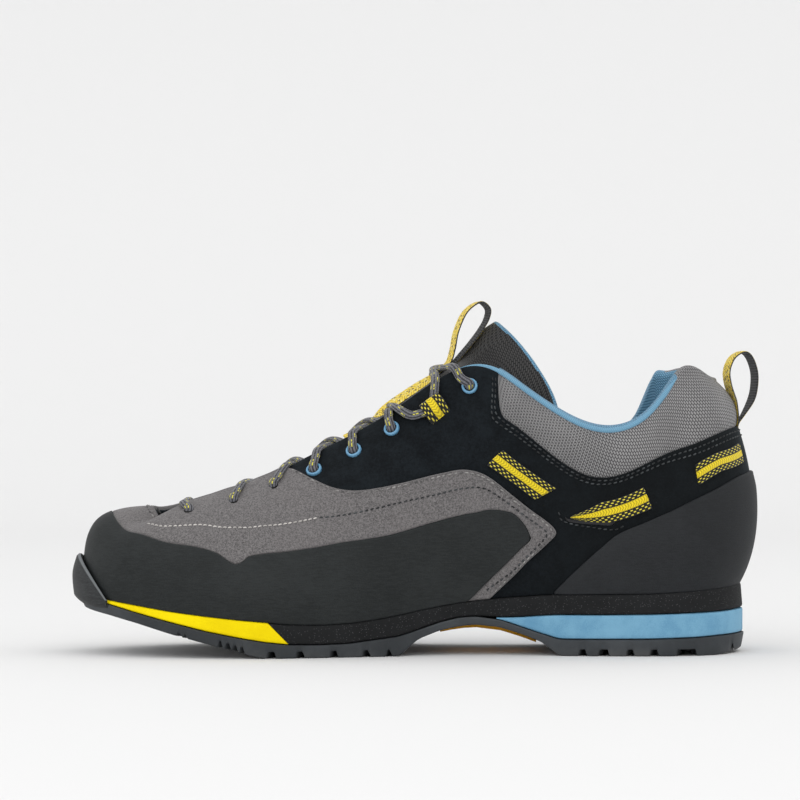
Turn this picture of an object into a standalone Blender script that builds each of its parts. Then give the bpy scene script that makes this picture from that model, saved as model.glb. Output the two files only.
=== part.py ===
# Approach shoe for the right foot, standing empty on its sole.
# The toe points to -X, the heel to +X, the lateral side to +Y and +Z is up. Metres.
import math

import bmesh
import bpy
import numpy as np

# Overall sizes
LENGTH = 0.292  # toe bumper to the back of the heel counter
BALL_WIDTH = 0.104  # the sole across the ball
HEEL_STACK = 0.026  # floor to the top of the midsole under the heel
UPPER_HEIGHT = 0.100  # top of the midsole to the highest point of the topline

# Walls and layers
GAP = 0.0003  # clearance between pieces that touch
WALL = 0.0024  # nubuck and lining
COLLAR_WALL = 0.0072  # padded cuff
COLLAR_STEP = 0.0009  # the nubuck stands this far over the cuff's mesh
COLLAR_BULGE = 0.0022  # outward swell of the padding
SUEDE = 0.0013
RAND = 0.0021
COUNTER = 0.0017
BUMPER = 0.0034
INSOLE = 0.0040
WEBBING = 0.0009
FACET = 0.0065  # longest step of a panel round the toe and the heel
FEATHER_INSET = 0.0032  # the upper's foot stands this far inside the sole's edge

# Sole
MIDSOLE_INSET = 0.0008  # at its top edge
OUTSOLE_FLARE = 0.0006  # beyond the midsole's edge
GROOVE_DEPTH = 0.0028
GROOVE_WIDTH = 0.0034
CHANNEL_WIDTH = 0.0056
ARCH_PLATE = 0.0014

# Tongue, loops and laces
TONGUE = 0.0040
TONGUE_PAD = 0.0080  # its padded top
TONGUE_CROWN = 0.0022
STRAP_WIDTH = 0.0120
STRAP = 0.0012
LACE_RADIUS = 0.0020
EYELET_RADIUS = 0.0033
EYELET_HOLE = 0.0020
EYELET = 0.0011

# One row for each section from the back of the heel to the tip of the toe.
# x_sole, med and lat: the sole's edge. x_edge, edge_med and edge_lat: the topline and throat.
# h_med and h_lat: the height of that edge over the midsole. flare and rise: how the wall leaves
# the sole. shoulder and drop: how it reaches the edge. seam: the cuff's seam, up the wall.
# x is a share of LENGTH from the heel, widths of BALL_WIDTH, heights of UPPER_HEIGHT.
SECTION_COLUMNS = (
    "x_sole", "med", "lat", "x_edge", "edge_med", "edge_lat", "h_med", "h_lat",
    "flare", "rise", "shoulder", "drop", "seam",
)
SECTIONS = (
    (0.022, 0.000, 0.000, 0.057, 0.000, 0.000, 0.872, 0.872, 0.125, 0.22, 0.150, 0.300, 0.79),
    (0.045, 0.200, 0.200, 0.072, 0.130, 0.130, 0.888, 0.882, 0.110, 0.22, 0.110, 0.300, 0.79),
    (0.105, 0.335, 0.335, 0.112, 0.235, 0.235, 0.918, 0.908, 0.080, 0.22, 0.050, 0.300, 0.68),
    (0.190, 0.360, 0.365, 0.168, 0.300, 0.300, 0.742, 0.712, 0.050, 0.24, 0.010, 0.240, 0.73),
    (0.270, 0.345, 0.370, 0.250, 0.317, 0.322, 0.690, 0.630, 0.045, 0.24, -0.020, 0.220, 0.72),
    (0.360, 0.310, 0.375, 0.345, 0.300, 0.300, 0.865, 0.820, 0.055, 0.30, 0.030, 0.280, 0.80),
    (0.450, 0.320, 0.395, 0.425, 0.230, 0.210, 0.990, 0.980, 0.050, 0.32, 0.100, 0.280, 0.80),
    (0.540, 0.375, 0.435, 0.530, 0.183, 0.120, 0.870, 0.870, 0.040, 0.30, 0.165, 0.200, 0.80),
    (0.640, 0.455, 0.490, 0.635, 0.163, 0.080, 0.730, 0.730, 0.045, 0.28, 0.185, 0.140, 0.80),
    (0.730, 0.500, 0.490, 0.720, 0.158, 0.053, 0.596, 0.596, 0.040, 0.27, 0.200, 0.100, 0.80),
    (0.820, 0.480, 0.425, 0.790, 0.154, 0.038, 0.500, 0.500, 0.040, 0.28, 0.200, 0.070, 0.80),
    (0.900, 0.410, 0.315, 0.840, 0.144, 0.024, 0.430, 0.430, 0.034, 0.30, 0.190, 0.030, 0.80),
    (0.957, 0.285, 0.165, 0.868, 0.120, -0.020, 0.395, 0.400, 0.030, 0.32, 0.200, 0.010, 0.80),
    (0.985, 0.070, -0.070, 0.878, 0.067, -0.067, 0.400, 0.400, 0.030, 0.32, 0.225, 0.003, 0.80),
)
TOE = len(SECTIONS) - 1  # the toe tip's place on the ring; the heel is at 0
AROUND = 2 * TOE

# The sole's side, as shares of HEEL_STACK over the floor.
# ground: the tread. tread: the outsole's top. wedge: the heel wedge's top. top: the midsole's top.
SOLE_COLUMNS = ("x", "ground", "tread", "wedge", "top")
SOLE_SIDE = (
    (0.000, 0.13, 0.33, 0.73, 1.150),
    (0.030, 0.06, 0.32, 0.72, 1.125),
    (0.065, 0.00, 0.31, 0.70, 1.080),
    (0.100, 0.00, 0.29, 0.69, 1.045),
    (0.165, 0.00, 0.27, 0.67, 1.000),
    (0.240, 0.00, 0.265, 0.66, 0.990),
    (0.295, 0.00, 0.265, 0.66, 0.980),
    (0.320, 0.22, 0.35, 0.645, 0.970),
    (0.350, 0.35, 0.46, 0.62, 0.945),
    (0.380, 0.455, 0.575, 0.61, 0.920),
    (0.416, 0.50, 0.63, 0.63, 0.880),
    (0.440, 0.47, 0.61, 0.61, 0.850),
    (0.466, 0.41, 0.54, 0.54, 0.800),
    (0.498, 0.27, 0.42, 0.42, 0.730),
    (0.525, 0.00, 0.32, 0.32, 0.665),
    (0.550, 0.00, 0.285, 0.285, 0.610),
    (0.595, 0.00, 0.22, 0.22, 0.545),
    (0.637, 0.00, 0.205, 0.205, 0.525),
    (0.684, 0.00, 0.215, 0.215, 0.540),
    (0.715, 0.00, 0.255, 0.255, 0.575),
    (0.750, 0.09, 0.32, 0.32, 0.610),
    (0.800, 0.24, 0.43, 0.43, 0.670),
    (0.850, 0.385, 0.565, 0.565, 0.740),
    (0.900, 0.55, 0.71, 0.71, 0.830),
    (0.940, 0.66, 0.83, 0.83, 0.895),
    (1.000, 0.78, 0.92, 0.92, 0.985),
)

# Rubber rand, from its tail at the arch to the toe: its lower edge, then its seam with the suede.
# Each point is a share of LENGTH and the height over the midsole as a share of UPPER_HEIGHT.
RAND_TAIL = (
    (0.338, 0.236, 0.337, 0.258),
    (0.352, 0.200, 0.345, 0.305),
    (0.370, 0.150, 0.358, 0.345),
    (0.388, 0.100, 0.373, 0.368),
    (0.409, 0.050, 0.395, 0.378),
)
RAND_FRONT = (
    (0.430, 0.000, 0.420, 0.372),
    (0.470, 0.000, 0.465, 0.358),
    (0.530, 0.000, 0.530, 0.345),
    (0.600, 0.000, 0.600, 0.337),
    (0.655, 0.000, 0.655, 0.313),
    (0.690, 0.000, 0.690, 0.293),
    (0.720, 0.000, 0.720, 0.276),
    (0.737, 0.000, 0.737, 0.264),
    (0.748, 0.000, 0.748, 0.236),
    (0.757, 0.000, 0.757, 0.226),
    (0.767, 0.000, 0.767, 0.236),
    (0.787, 0.000, 0.787, 0.264),
    (0.820, 0.000, 0.820, 0.275),
    (0.862, 0.000, 0.862, 0.277),
    (0.905, 0.000, 0.900, 0.288),
    (0.950, 0.000, 0.930, 0.315),
)
RAND_TOE = 0.350  # its height at the tip of the toe

# Outer edge of the suede, for the tail's points from the sole up, then for the rows of the rand.
# A height of 1 puts the point on the throat's edge.
SUEDE_TAIL = (
    (0.395, 0.000), (0.376, 0.050), (0.357, 0.100), (0.338, 0.150), (0.319, 0.200), (0.300, 0.250),
)
SUEDE_TOP = (
    (0.303, 0.282), (0.315, 0.315), (0.330, 0.350), (0.360, 0.420), (0.396, 0.515), (0.430, 0.556),
    (0.466, 0.553), (0.523, 0.544), (0.602, 0.548), (0.648, 0.595), (0.690, 1.000),
    (0.715, 1.000), (0.735, 1.000), (0.746, 1.000), (0.757, 1.000), (0.768, 1.000),
    (0.783, 1.000), (0.803, 1.000), (0.830, 1.000), (0.850, 1.000), (0.868, 1.000),
)
THROAT_BORDER = 0.965  # the suede ends this far up the wall

# Top of the heel counter, from its front corner to the back of the heel.
COUNTER_TOP = (
    (0.302, 0.012), (0.266, 0.116), (0.237, 0.192), (0.209, 0.254), (0.165, 0.309),
    (0.122, 0.360), (0.077, 0.410), (0.034, 0.455),
)
COUNTER_BACK = 0.475

# Webbing that shows in three windows of the quarter: lower edge, then upper edge, front to back.
WEBBING_WINDOWS = {
    "front": ((0.394, 0.553, 0.369, 0.607), (0.355, 0.470, 0.332, 0.515), (0.324, 0.403, 0.296, 0.449)),
    "middle": ((0.276, 0.322, 0.275, 0.330), (0.226, 0.311, 0.235, 0.385), (0.166, 0.360, 0.177, 0.446)),
    "rear": ((0.092, 0.450, 0.096, 0.532), (0.062, 0.488, 0.064, 0.570), (0.040, 0.524, 0.044, 0.604)),
}

# Lacing: the three punched holes of the suede, three eyelets, the webbing keeper, the top eyelet.
PUNCHED = ((0.828, 0.425), (0.765, 0.495), (0.707, 0.576))
EYELETS = ((0.649, 0.646), (0.591, 0.722), (0.535, 0.785))
KEEPER = (0.473, 0.833)
TOP_EYELET = (0.423, 0.903)
KEEPER_HALF = 0.0045
LACE_SHOWN = (0.0, 0.9)  # the stretch of a crossing between two holes, which ends beside the next one
BAR_SHOWN = (0.13, 0.87)  # the stretch of the first, straight bar

# Pull loops as side views of the strap's middle: shares of LENGTH from the heel, and of UPPER_HEIGHT
# over the heel's feather line. The heel loop closes on itself; the tongue loop starts and ends on the
# tongue.
HEEL_FEATHER = 1.13  # height of that line, as a share of HEEL_STACK
HEEL_LOOP = (
    (0.0205, 0.674), (0.0275, 0.746), (0.0365, 0.801), (0.0415, 0.851), (0.0405, 0.901), (0.0325, 0.953),
    (0.0235, 0.974), (0.0130, 0.951), (0.0060, 0.896), (0.0045, 0.836), (0.0100, 0.771), (0.0155, 0.711),
    (0.0172, 0.678),
)
TONGUE_LOOP = (
    (0.4545, 0.902), (0.4525, 0.991), (0.4410, 1.081), (0.4290, 1.151), (0.4170, 1.194), (0.4050, 1.201),
    (0.3950, 1.171), (0.3955, 1.136), (0.3990, 1.108),
)

SIDES = {"medial": -1, "lateral": 1}
UP = np.array((0.0, 0.0, 1.0))

COLOURS = {
    "nubuck": ((0.010, 0.013, 0.016), 0.85),
    "suede": ((0.120, 0.110, 0.108), 0.95),
    "rubber": ((0.028, 0.031, 0.032), 0.70),
    "foam": ((0.018, 0.019, 0.021), 0.80),
    "yellow": ((0.830, 0.650, 0.010), 0.60),
    "blue": ((0.150, 0.390, 0.600), 0.60),
    "orange": ((0.800, 0.330, 0.020), 0.50),
    "mesh": ((0.020, 0.020, 0.021), 0.90),
    "webbing": ((0.600, 0.480, 0.030), 0.80),
    "cord": ((0.070, 0.072, 0.080), 0.80),
    "lining": ((0.130, 0.300, 0.480), 0.90),
}


def clear_scene():
    for old in list(bpy.data.objects):
        bpy.data.objects.remove(old, do_unlink=True)


def material(name):
    found = bpy.data.materials.get(name)
    if found:
        return found
    colour, roughness = COLOURS[name]
    made = bpy.data.materials.new(name)
    made.use_nodes = True
    shader = made.node_tree.nodes["Principled BSDF"]
    shader.inputs["Base Color"].default_value = (*colour, 1.0)
    shader.inputs["Roughness"].default_value = roughness
    return made


def smooth_step(value, start, end):
    share = np.clip((value - start) / (end - start), 0.0, 1.0)
    return share * share * (3.0 - 2.0 * share)


def closed_spline(values, at):
    # The C2 cubic through evenly spaced values on a closed ring.
    count = len(values)
    one = np.eye(count)
    system = 4.0 * one + np.roll(one, 1, 0) + np.roll(one, -1, 0)
    bend = np.roll(values, 1, 0) - 2.0 * values + np.roll(values, -1, 0)
    curve = np.linalg.solve(system, 6.0 * bend)
    low = np.floor(at).astype(int)
    part = (at - low)[..., None]
    low, high = low % count, (low + 1) % count
    back = 1.0 - part
    return (
        back * values[low]
        + part * values[high]
        + (back**3 - back) * curve[low] / 6.0
        + (part**3 - part) * curve[high] / 6.0
    )


def open_spline(points, per_span):
    # Catmull-Rom through an open row of points, with so many steps between two of them.
    points = np.asarray(points, float)
    counts = np.broadcast_to(per_span, len(points) - 1)
    ends = np.vstack((2 * points[0] - points[1], points, 2 * points[-1] - points[-2]))
    spans = []
    for count, a, b, c, d in zip(counts, ends, ends[1:], ends[2:], ends[3:]):
        t = np.arange(count)[:, None] / count
        curve = 2 * b + (c - a) * t + (2 * a - 5 * b + 4 * c - d) * t**2 + (3 * b - a - 3 * c + d) * t**3
        spans.append(0.5 * curve)
    return np.vstack((*spans, points[-1:]))


def sole_height(column, x):
    # Height over the floor at world x of one line of the sole's side.
    rows = np.array(SOLE_SIDE)
    share = 0.5 - np.asarray(x) / LENGTH
    return np.interp(share, rows[:, 0], rows[:, SOLE_COLUMNS.index(column)]) * HEEL_STACK


def x_of(share):
    return LENGTH * (0.5 - share)


def section_ring():
    # The table's rows, medial side out and lateral side back, as metres on a closed ring.
    rows = np.array(SECTIONS)
    pick = {name: rows[:, i] for i, name in enumerate(SECTION_COLUMNS)}
    back = slice(-2, 0, -1)

    def both(medial, lateral):
        return np.concatenate((medial, lateral[back]))

    ring = {name: both(pick[name], pick[name]) for name in ("flare", "rise", "shoulder", "drop", "seam")}
    ring["sole_x"] = x_of(both(pick["x_sole"], pick["x_sole"]))
    ring["sole_y"] = BALL_WIDTH * both(-pick["med"], pick["lat"])
    ring["edge_x"] = x_of(both(pick["x_edge"], pick["x_edge"]))
    ring["edge_y"] = BALL_WIDTH * both(-pick["edge_med"], pick["edge_lat"])
    ring["edge_h"] = UPPER_HEIGHT * both(pick["h_med"], pick["h_lat"])
    return ring


RING = section_ring()


def ring_at(name, at):
    return closed_spline(RING[name][:, None], np.asarray(at, float))[..., 0]


def outline(at, inset=0.0):
    # The sole's edge in plan, moved inwards, and its outward direction.
    at = np.asarray(at, float)
    small = 0.01
    ahead = np.stack((ring_at("sole_x", at + small), ring_at("sole_y", at + small)), -1)
    behind = np.stack((ring_at("sole_x", at - small), ring_at("sole_y", at - small)), -1)
    along = ahead - behind
    along /= np.linalg.norm(along, axis=-1, keepdims=True)
    out = np.stack((-along[..., 1], along[..., 0]), -1)
    edge = np.stack((ring_at("sole_x", at), ring_at("sole_y", at)), -1)
    return edge - inset * out, out


def wall(at, up):
    # The upper's outer surface: at runs round the ring, up from the sole (0) to the edge (1).
    at, up = np.broadcast_arrays(np.asarray(at, float), np.asarray(up, float))
    plan, out = outline(at, FEATHER_INSET)
    out = np.concatenate((out, np.zeros_like(out[..., :1])), -1)
    foot = np.concatenate((plan, sole_height("top", plan[..., :1]) + GAP), -1)
    edge_x = ring_at("edge_x", at)
    edge_z = sole_height("top", edge_x) + ring_at("edge_h", at)
    edge = np.stack((edge_x, ring_at("edge_y", at), edge_z), -1)
    low = foot + out * (BALL_WIDTH * ring_at("flare", at))[..., None]
    low = low + UP * (UPPER_HEIGHT * ring_at("rise", at))[..., None]
    high = edge + out * (BALL_WIDTH * ring_at("shoulder", at))[..., None]
    high = high - UP * (UPPER_HEIGHT * ring_at("drop", at))[..., None]
    t = up[..., None]
    s = 1.0 - t
    return s**3 * foot + 3 * s * s * t * low + 3 * s * t * t * high + t**3 * edge


def wall_out(at, up):
    # Unit direction out of the wall.
    small = 0.004
    at, up = np.broadcast_arrays(np.asarray(at, float), np.asarray(up, float))
    inner = np.clip(up, small, 1.0 - small)
    rise = wall(at, inner + small) - wall(at, inner - small)
    round_ = wall(at + small, up) - wall(at - small, up)
    out = np.cross(rise, round_)
    return out / np.linalg.norm(out, axis=-1, keepdims=True)


def on_wall(at, up, offset):
    # A point at a distance off the wall; the foot keeps its height, so that it stands on the midsole.
    point = wall(at, up)
    moved = point + wall_out(at, up) * np.asarray(offset)[..., None]
    foot = np.asarray(up) <= 1e-6
    level = sole_height("top", moved[..., 0]) + GAP
    moved[..., 2] = np.where(foot, level, moved[..., 2])
    return moved


def from_heel(at):
    # 0 at the heel and TOE at the toe, on either side.
    at = np.asarray(at, float) % AROUND
    return np.minimum(at, AROUND - at)


def seam_up(at):
    # Where the cuff's seam crosses the wall, found by its height.
    at = np.asarray(at, float)
    steps = np.linspace(0.0, 1.0, 60)
    heights = wall(at[..., None], steps)[..., 2]
    target = heights[..., 0] + ring_at("seam", at) * (heights[..., -1] - heights[..., 0])
    flat = [np.interp(z, row, steps) for z, row in zip(target.ravel(), heights.reshape(-1, 60))]
    return np.array(flat).reshape(at.shape)


def wall_place(side, x_share, height):
    # The place (round, up) on one side of the wall whose side view is at that share and height.
    sign = SIDES[side]
    ats = np.linspace(0.0, TOE, 40 * TOE + 1)
    ats = ats if sign < 0 else AROUND - ats
    x = x_of(x_share)
    if height <= 0.0 or height >= 1.0:
        line = wall(ats, 0.0 if height <= 0.0 else 1.0)[:, 0]
        return np.interp(-x, -line, ats), 0.0 if height <= 0.0 else THROAT_BORDER
    ups = np.linspace(0.0, 1.0, 81)
    grid = wall(ats[:, None], ups[None, :])
    z = sole_height("top", x) + height * UPPER_HEIGHT
    miss = (grid[..., 0] - x) ** 2 + (grid[..., 2] - z) ** 2
    i, j = np.unravel_index(np.argmin(miss), miss.shape)
    return ats[i], ups[j]


def places(side, points):
    return np.array([wall_place(side, x, h) for x, h in points])


def toe_place(height):
    steps = np.linspace(0.0, 1.0, 200)
    line = wall(float(TOE), steps)
    z = sole_height("top", line[:, 0]) + height * UPPER_HEIGHT
    return np.array((float(TOE), steps[np.argmin(np.abs(line[:, 2] - z))]))


def new_object(name, points, faces, colour):
    mesh = bpy.data.meshes.new(name)
    mesh.from_pydata([tuple(p) for p in points], [], [tuple(f) for f in faces])
    tidy = bmesh.new()
    tidy.from_mesh(mesh)
    bmesh.ops.remove_doubles(tidy, verts=tidy.verts, dist=2e-6)
    bmesh.ops.dissolve_degenerate(tidy, edges=tidy.edges, dist=1e-6)
    bmesh.ops.triangulate(tidy, faces=tidy.faces, quad_method="SHORT_EDGE", ngon_method="EAR_CLIP")
    bmesh.ops.recalc_face_normals(tidy, faces=tidy.faces)
    tidy.to_mesh(mesh)
    tidy.free()
    mesh.materials.append(material(colour))
    mesh.shade_smooth()
    mesh.set_sharp_from_angle(angle=math.radians(40))
    made = bpy.data.objects.new(name, mesh)
    bpy.context.scene.collection.objects.link(made)
    return made


def grid_faces(rows, columns, start=0, wrap=False):
    faces = []
    last = columns if wrap else columns - 1
    for i in range(rows - 1):
        for j in range(last):
            k = (j + 1) % columns
            a, b = start + i * columns, start + (i + 1) * columns
            faces.append((a + j, a + k, b + k, b + j))
    return faces


def sheet_solid(name, outer, inner, colour):
    # A closed solid between two grids of the same shape.
    rows, columns = outer.shape[:2]
    count = rows * columns
    faces = grid_faces(rows, columns) + grid_faces(rows, columns, count)
    top = [(0, j) for j in range(columns)]
    right = [(i, columns - 1) for i in range(rows)]
    bottom = [(rows - 1, j) for j in reversed(range(columns))]
    left = [(i, 0) for i in reversed(range(rows))]
    border = top[:-1] + right[:-1] + bottom[:-1] + left[:-1]
    for (i, j), (k, m) in zip(border, border[1:] + border[:1]):
        a, b = i * columns + j, k * columns + m
        faces.append((a, b, b + count, a + count))
    points = np.vstack((outer.reshape(-1, 3), inner.reshape(-1, 3)))
    return new_object(name, points, faces, colour)


def ring_solid(name, rings, colour, closed=False):
    # A closed solid through rings of points; the two end rings are capped unless it closes on itself.
    rings = np.asarray(rings)
    rows, columns = rings.shape[:2]
    faces = grid_faces(rows, columns, wrap=True)
    if closed:
        last = (rows - 1) * columns
        faces += [(last + j, last + (j + 1) % columns, (j + 1) % columns, j) for j in range(columns)]
    else:
        faces += [tuple(range(columns)), tuple(range((rows - 1) * columns, rows * columns))]
    return new_object(name, rings.reshape(-1, 3), faces, colour)


def panel(name, low, high, inner, outer, across, colour):
    # An overlay on the wall between two rows of places, from an inner to an outer offset.
    # Its steps are short where the wall turns most, at the heel and the toe.
    spans = [np.linalg.norm(np.diff(wall(row[:, 0], row[:, 1]), axis=0), axis=1) for row in (low, high)]
    middle = from_heel((low[1:, 0] + low[:-1, 0]) / 2)
    step = np.where((middle < 2.2) | (middle > 10.6), FACET, 2.4 * FACET)
    counts = np.maximum(1, np.ceil(np.maximum(*spans) / step)).astype(int)
    low, high = open_spline(low, counts), open_spline(high, counts)
    share = np.linspace(0.0, 1.0, across + 1)[None, :, None]
    place = low[:, None] * (1.0 - share) + high[:, None] * share
    place[..., 1] = np.clip(place[..., 1], 0.0, 1.0)
    at, up = place[..., 0], place[..., 1]
    # Its flat facets cut in a little where the wall is round, so its inside stands off a little more.
    ends = smooth_step(np.abs(from_heel(at) - TOE / 2), TOE / 2 - 4.0, TOE / 2 - 2.0)
    inner = inner + GAP * (0.35 + 0.6 * ends)
    return sheet_solid(name, on_wall(at, up, outer), on_wall(at, up, inner), colour)


def around_toe(medial, centre, lateral):
    return np.vstack((medial, centre, lateral[::-1]))


def slab(name, low_range, high_range, heights, insets, colour, columns=34):
    # A layer of the sole between two lines of its side; the ranges are places from the heel.
    low = np.linspace(*low_range, columns)
    high = np.linspace(*high_range, columns)
    rings = []
    for a, b in zip(low, high):
        ring = []
        for side_at, level, inset in (
            (a, heights[0], insets[0]), (b, heights[1], insets[1]),
            (AROUND - b, heights[1], insets[1]), (AROUND - a, heights[0], insets[0]),
        ):
            plan, _ = outline(side_at, inset)
            ring.append((plan[0], plan[1], level(plan[0])))
        rings.append(ring)
    return ring_solid(name, rings, colour)


def sole_place(x_share):
    ats = np.linspace(0.0, TOE, 400)
    return float(np.interp(x_share, 0.5 - ring_at("sole_x", ats) / LENGTH, ats))


def line(column, lift=0.0):
    return lambda x: float(sole_height(column, x)) + lift


def ribbon(name, path, width, thick, colour, closed=False):
    # A flat strap whose middle runs along a side view, with its width across the shoe.
    middle = np.asarray(path, float)
    along = np.roll(middle, -1, 0) - np.roll(middle, 1, 0) if closed else np.gradient(middle, axis=0)
    along /= np.linalg.norm(along, axis=1, keepdims=True)
    out = np.stack((-along[:, 1], along[:, 0]), 1) * thick / 2
    corners = ((-1, -1), (1, -1), (1, 1), (-1, 1))
    rings = [
        [(x + off * nx, across * width / 2, z + off * nz) for across, off in corners]
        for (x, z), (nx, nz) in zip(middle, out)
    ]
    return ring_solid(name, rings, colour, closed=closed)


def tube_rings(path, radius, sides=6):
    path = np.asarray(path, float)
    along = np.gradient(path, axis=0)
    along /= np.linalg.norm(along, axis=1, keepdims=True)
    rings = []
    for point, way in zip(path, along):
        side = np.cross(way, UP)
        side /= np.linalg.norm(side)
        top = np.cross(side, way)
        turn = np.arange(sides) * 2 * math.pi / sides
        rings.append(point + radius * (np.cos(turn)[:, None] * side + np.sin(turn)[:, None] * top))
    return rings


def build_outsole():
    # Top at the tread line, bottom on the floor; the toe bumper is moulded with it.
    body = slab(
        "outsole", (0.0, TOE), (0.0, TOE), (line("ground"), line("tread")),
        (OUTSOLE_FLARE, -OUTSOLE_FLARE), "rubber", columns=40,
    )
    grooves = bmesh.new()

    def block(x_share, y, width, across, depth=GROOVE_DEPTH):
        x = x_of(x_share)
        low = sole_height("ground", x) - HEEL_STACK * 0.1
        high = sole_height("ground", x) + depth
        cube = bmesh.ops.create_cube(grooves, size=1.0)["verts"]
        bmesh.ops.scale(grooves, vec=(width, across, high - low), verts=cube)
        bmesh.ops.translate(grooves, vec=(x, y, (low + high) / 2), verts=cube)

    # Grooves open at both edges, and the channels that part the lugs lengthwise.
    reach = BALL_WIDTH * 0.62
    for share in (0.105, 0.165, 0.225, 0.565, 0.605, 0.645, 0.685, 0.725):
        block(share, -reach / 2 - BALL_WIDTH * 0.10, GROOVE_WIDTH, reach)
        block(share + 0.006, reach / 2 + BALL_WIDTH * 0.10, GROOVE_WIDTH, reach)
    for start, end, y in (
        (0.085, 0.255, 0.0), (0.56, 0.74, -0.155), (0.56, 0.74, 0.155),
    ):
        block((start + end) / 2, y * BALL_WIDTH, (end - start) * LENGTH, CHANNEL_WIDTH)
    mesh = bpy.data.meshes.new("groove_cutter")
    grooves.to_mesh(mesh)
    grooves.free()
    cutter = bpy.data.objects.new("groove_cutter", mesh)
    bpy.context.scene.collection.objects.link(cutter)
    cutter.hide_render = True
    cutter.display_type = "WIRE"
    cut = body.modifiers.new("grooves", "BOOLEAN")
    cut.operation = "DIFFERENCE"
    cut.object = cutter
    cut.solver = "EXACT"
    cut.use_self = True
    bumper = bumper_shell()
    bumper.hide_render = True
    bumper.display_type = "WIRE"
    join = body.modifiers.new("bumper", "BOOLEAN")
    join.operation = "UNION"
    join.object = bumper
    join.solver = "EXACT"
    return body


def bumper_shell():
    # Rubber that climbs the toe: from inside the outsole to an edge that peaks at the tip.
    reach = 1.9
    ats = np.linspace(TOE - reach, TOE + reach, 21)
    clear = FEATHER_INSET + 2 * GAP
    outer, inner = [], []
    for at in ats:
        lean = abs(at - TOE) / reach
        thick = BUMPER * (1.0 - 0.75 * lean**2)
        plan, out = outline(at)
        tread = float(sole_height("tread", plan[0]))
        feather = float(sole_height("top", plan[0]))
        top = feather + UPPER_HEIGHT * max(0.165 * (1.0 - lean**1.7), 0.006)
        heights = wall(at, np.linspace(0.0, 1.0, 60))[:, 2]
        row_out, row_in = [], []
        for z, off, swell in (
            (tread - HEEL_STACK * 0.14, -0.0022, 0.20), (tread - HEEL_STACK * 0.02, 2 * GAP, 0.55),
            (tread + (feather - tread) * 0.5, 2 * GAP, 0.85), (feather, 2 * GAP, 1.0),
            (feather + (top - feather) * 0.55, None, 1.0), (top, None, 0.45),
        ):
            if off is None:
                up = np.interp(z, heights, np.linspace(0.0, 1.0, 60))
                base, way = wall(at, up), wall_out(at, up)
                off = clear
            else:
                base, way = np.array((*plan, z)), np.array((*out, 0.0))
            row_out.append(base + way * (off + thick * swell))
            row_in.append(base + way * off)
        outer.append(row_out)
        inner.append(row_in)
    return sheet_solid("bumper_shell", np.array(outer), np.array(inner), "rubber")


def build_sole():
    build_outsole()
    wedge_end = sole_place(0.385)
    slab(
        "heel_wedge", (0.0, wedge_end), (0.0, wedge_end), (line("tread", GAP), line("wedge")),
        (0.0, 0.0), "blue", columns=20,
    )
    toe_low, toe_high = sole_place(0.684), sole_place(0.711)
    step = sole_place(0.71) - sole_place(0.70)
    slab(
        "toe_wedge", (toe_low + step * 0.1, TOE), (toe_high + step * 0.1, TOE),
        (line("tread", GAP), line("top")), (0.0, MIDSOLE_INSET), "yellow", columns=22,
    )

    def under(x):
        # The midsole's underside steps over the heel wedge and rests on the outsole elsewhere.
        return max(float(sole_height("wedge", x)), float(sole_height("tread", x))) + GAP

    slab(
        "midsole", (0.0, toe_low), (0.0, toe_high), (under, line("top")),
        (0.0, MIDSOLE_INSET), "foam", columns=30,
    )
    build_arch_plate()


def build_arch_plate():
    # A moulded plate under the arch, set against the outsole's underside.
    rings = []
    for share in np.linspace(0.325, 0.465, 9):
        x = x_of(share)
        top = float(sole_height("ground", x)) - 3 * GAP
        half = BALL_WIDTH * (0.15 - 0.05 * abs(share - 0.395) / 0.07)
        bottom = top - ARCH_PLATE
        rings.append([(x, -half, top), (x, half, top), (x, half * 0.8, bottom), (x, -half * 0.8, bottom)])
    ring_solid("arch_plate", rings, "orange")


def build_insole():
    clear = FEATHER_INSET + WALL + 2 * GAP
    slab(
        "insole", (0.0, TOE), (0.0, TOE), (line("top", GAP), line("top", GAP + INSOLE)),
        (clear, clear + WALL * 0.3), "lining", columns=26,
    )


CUFF_FRONT = 5.45  # the place where the cuff's mesh ends at the eyestay


def cuff_share(at):
    # 1 over the padded cuff, 0 forward of it.
    return 1.0 - smooth_step(from_heel(at), CUFF_FRONT - 0.15, CUFF_FRONT + 0.75)


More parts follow.
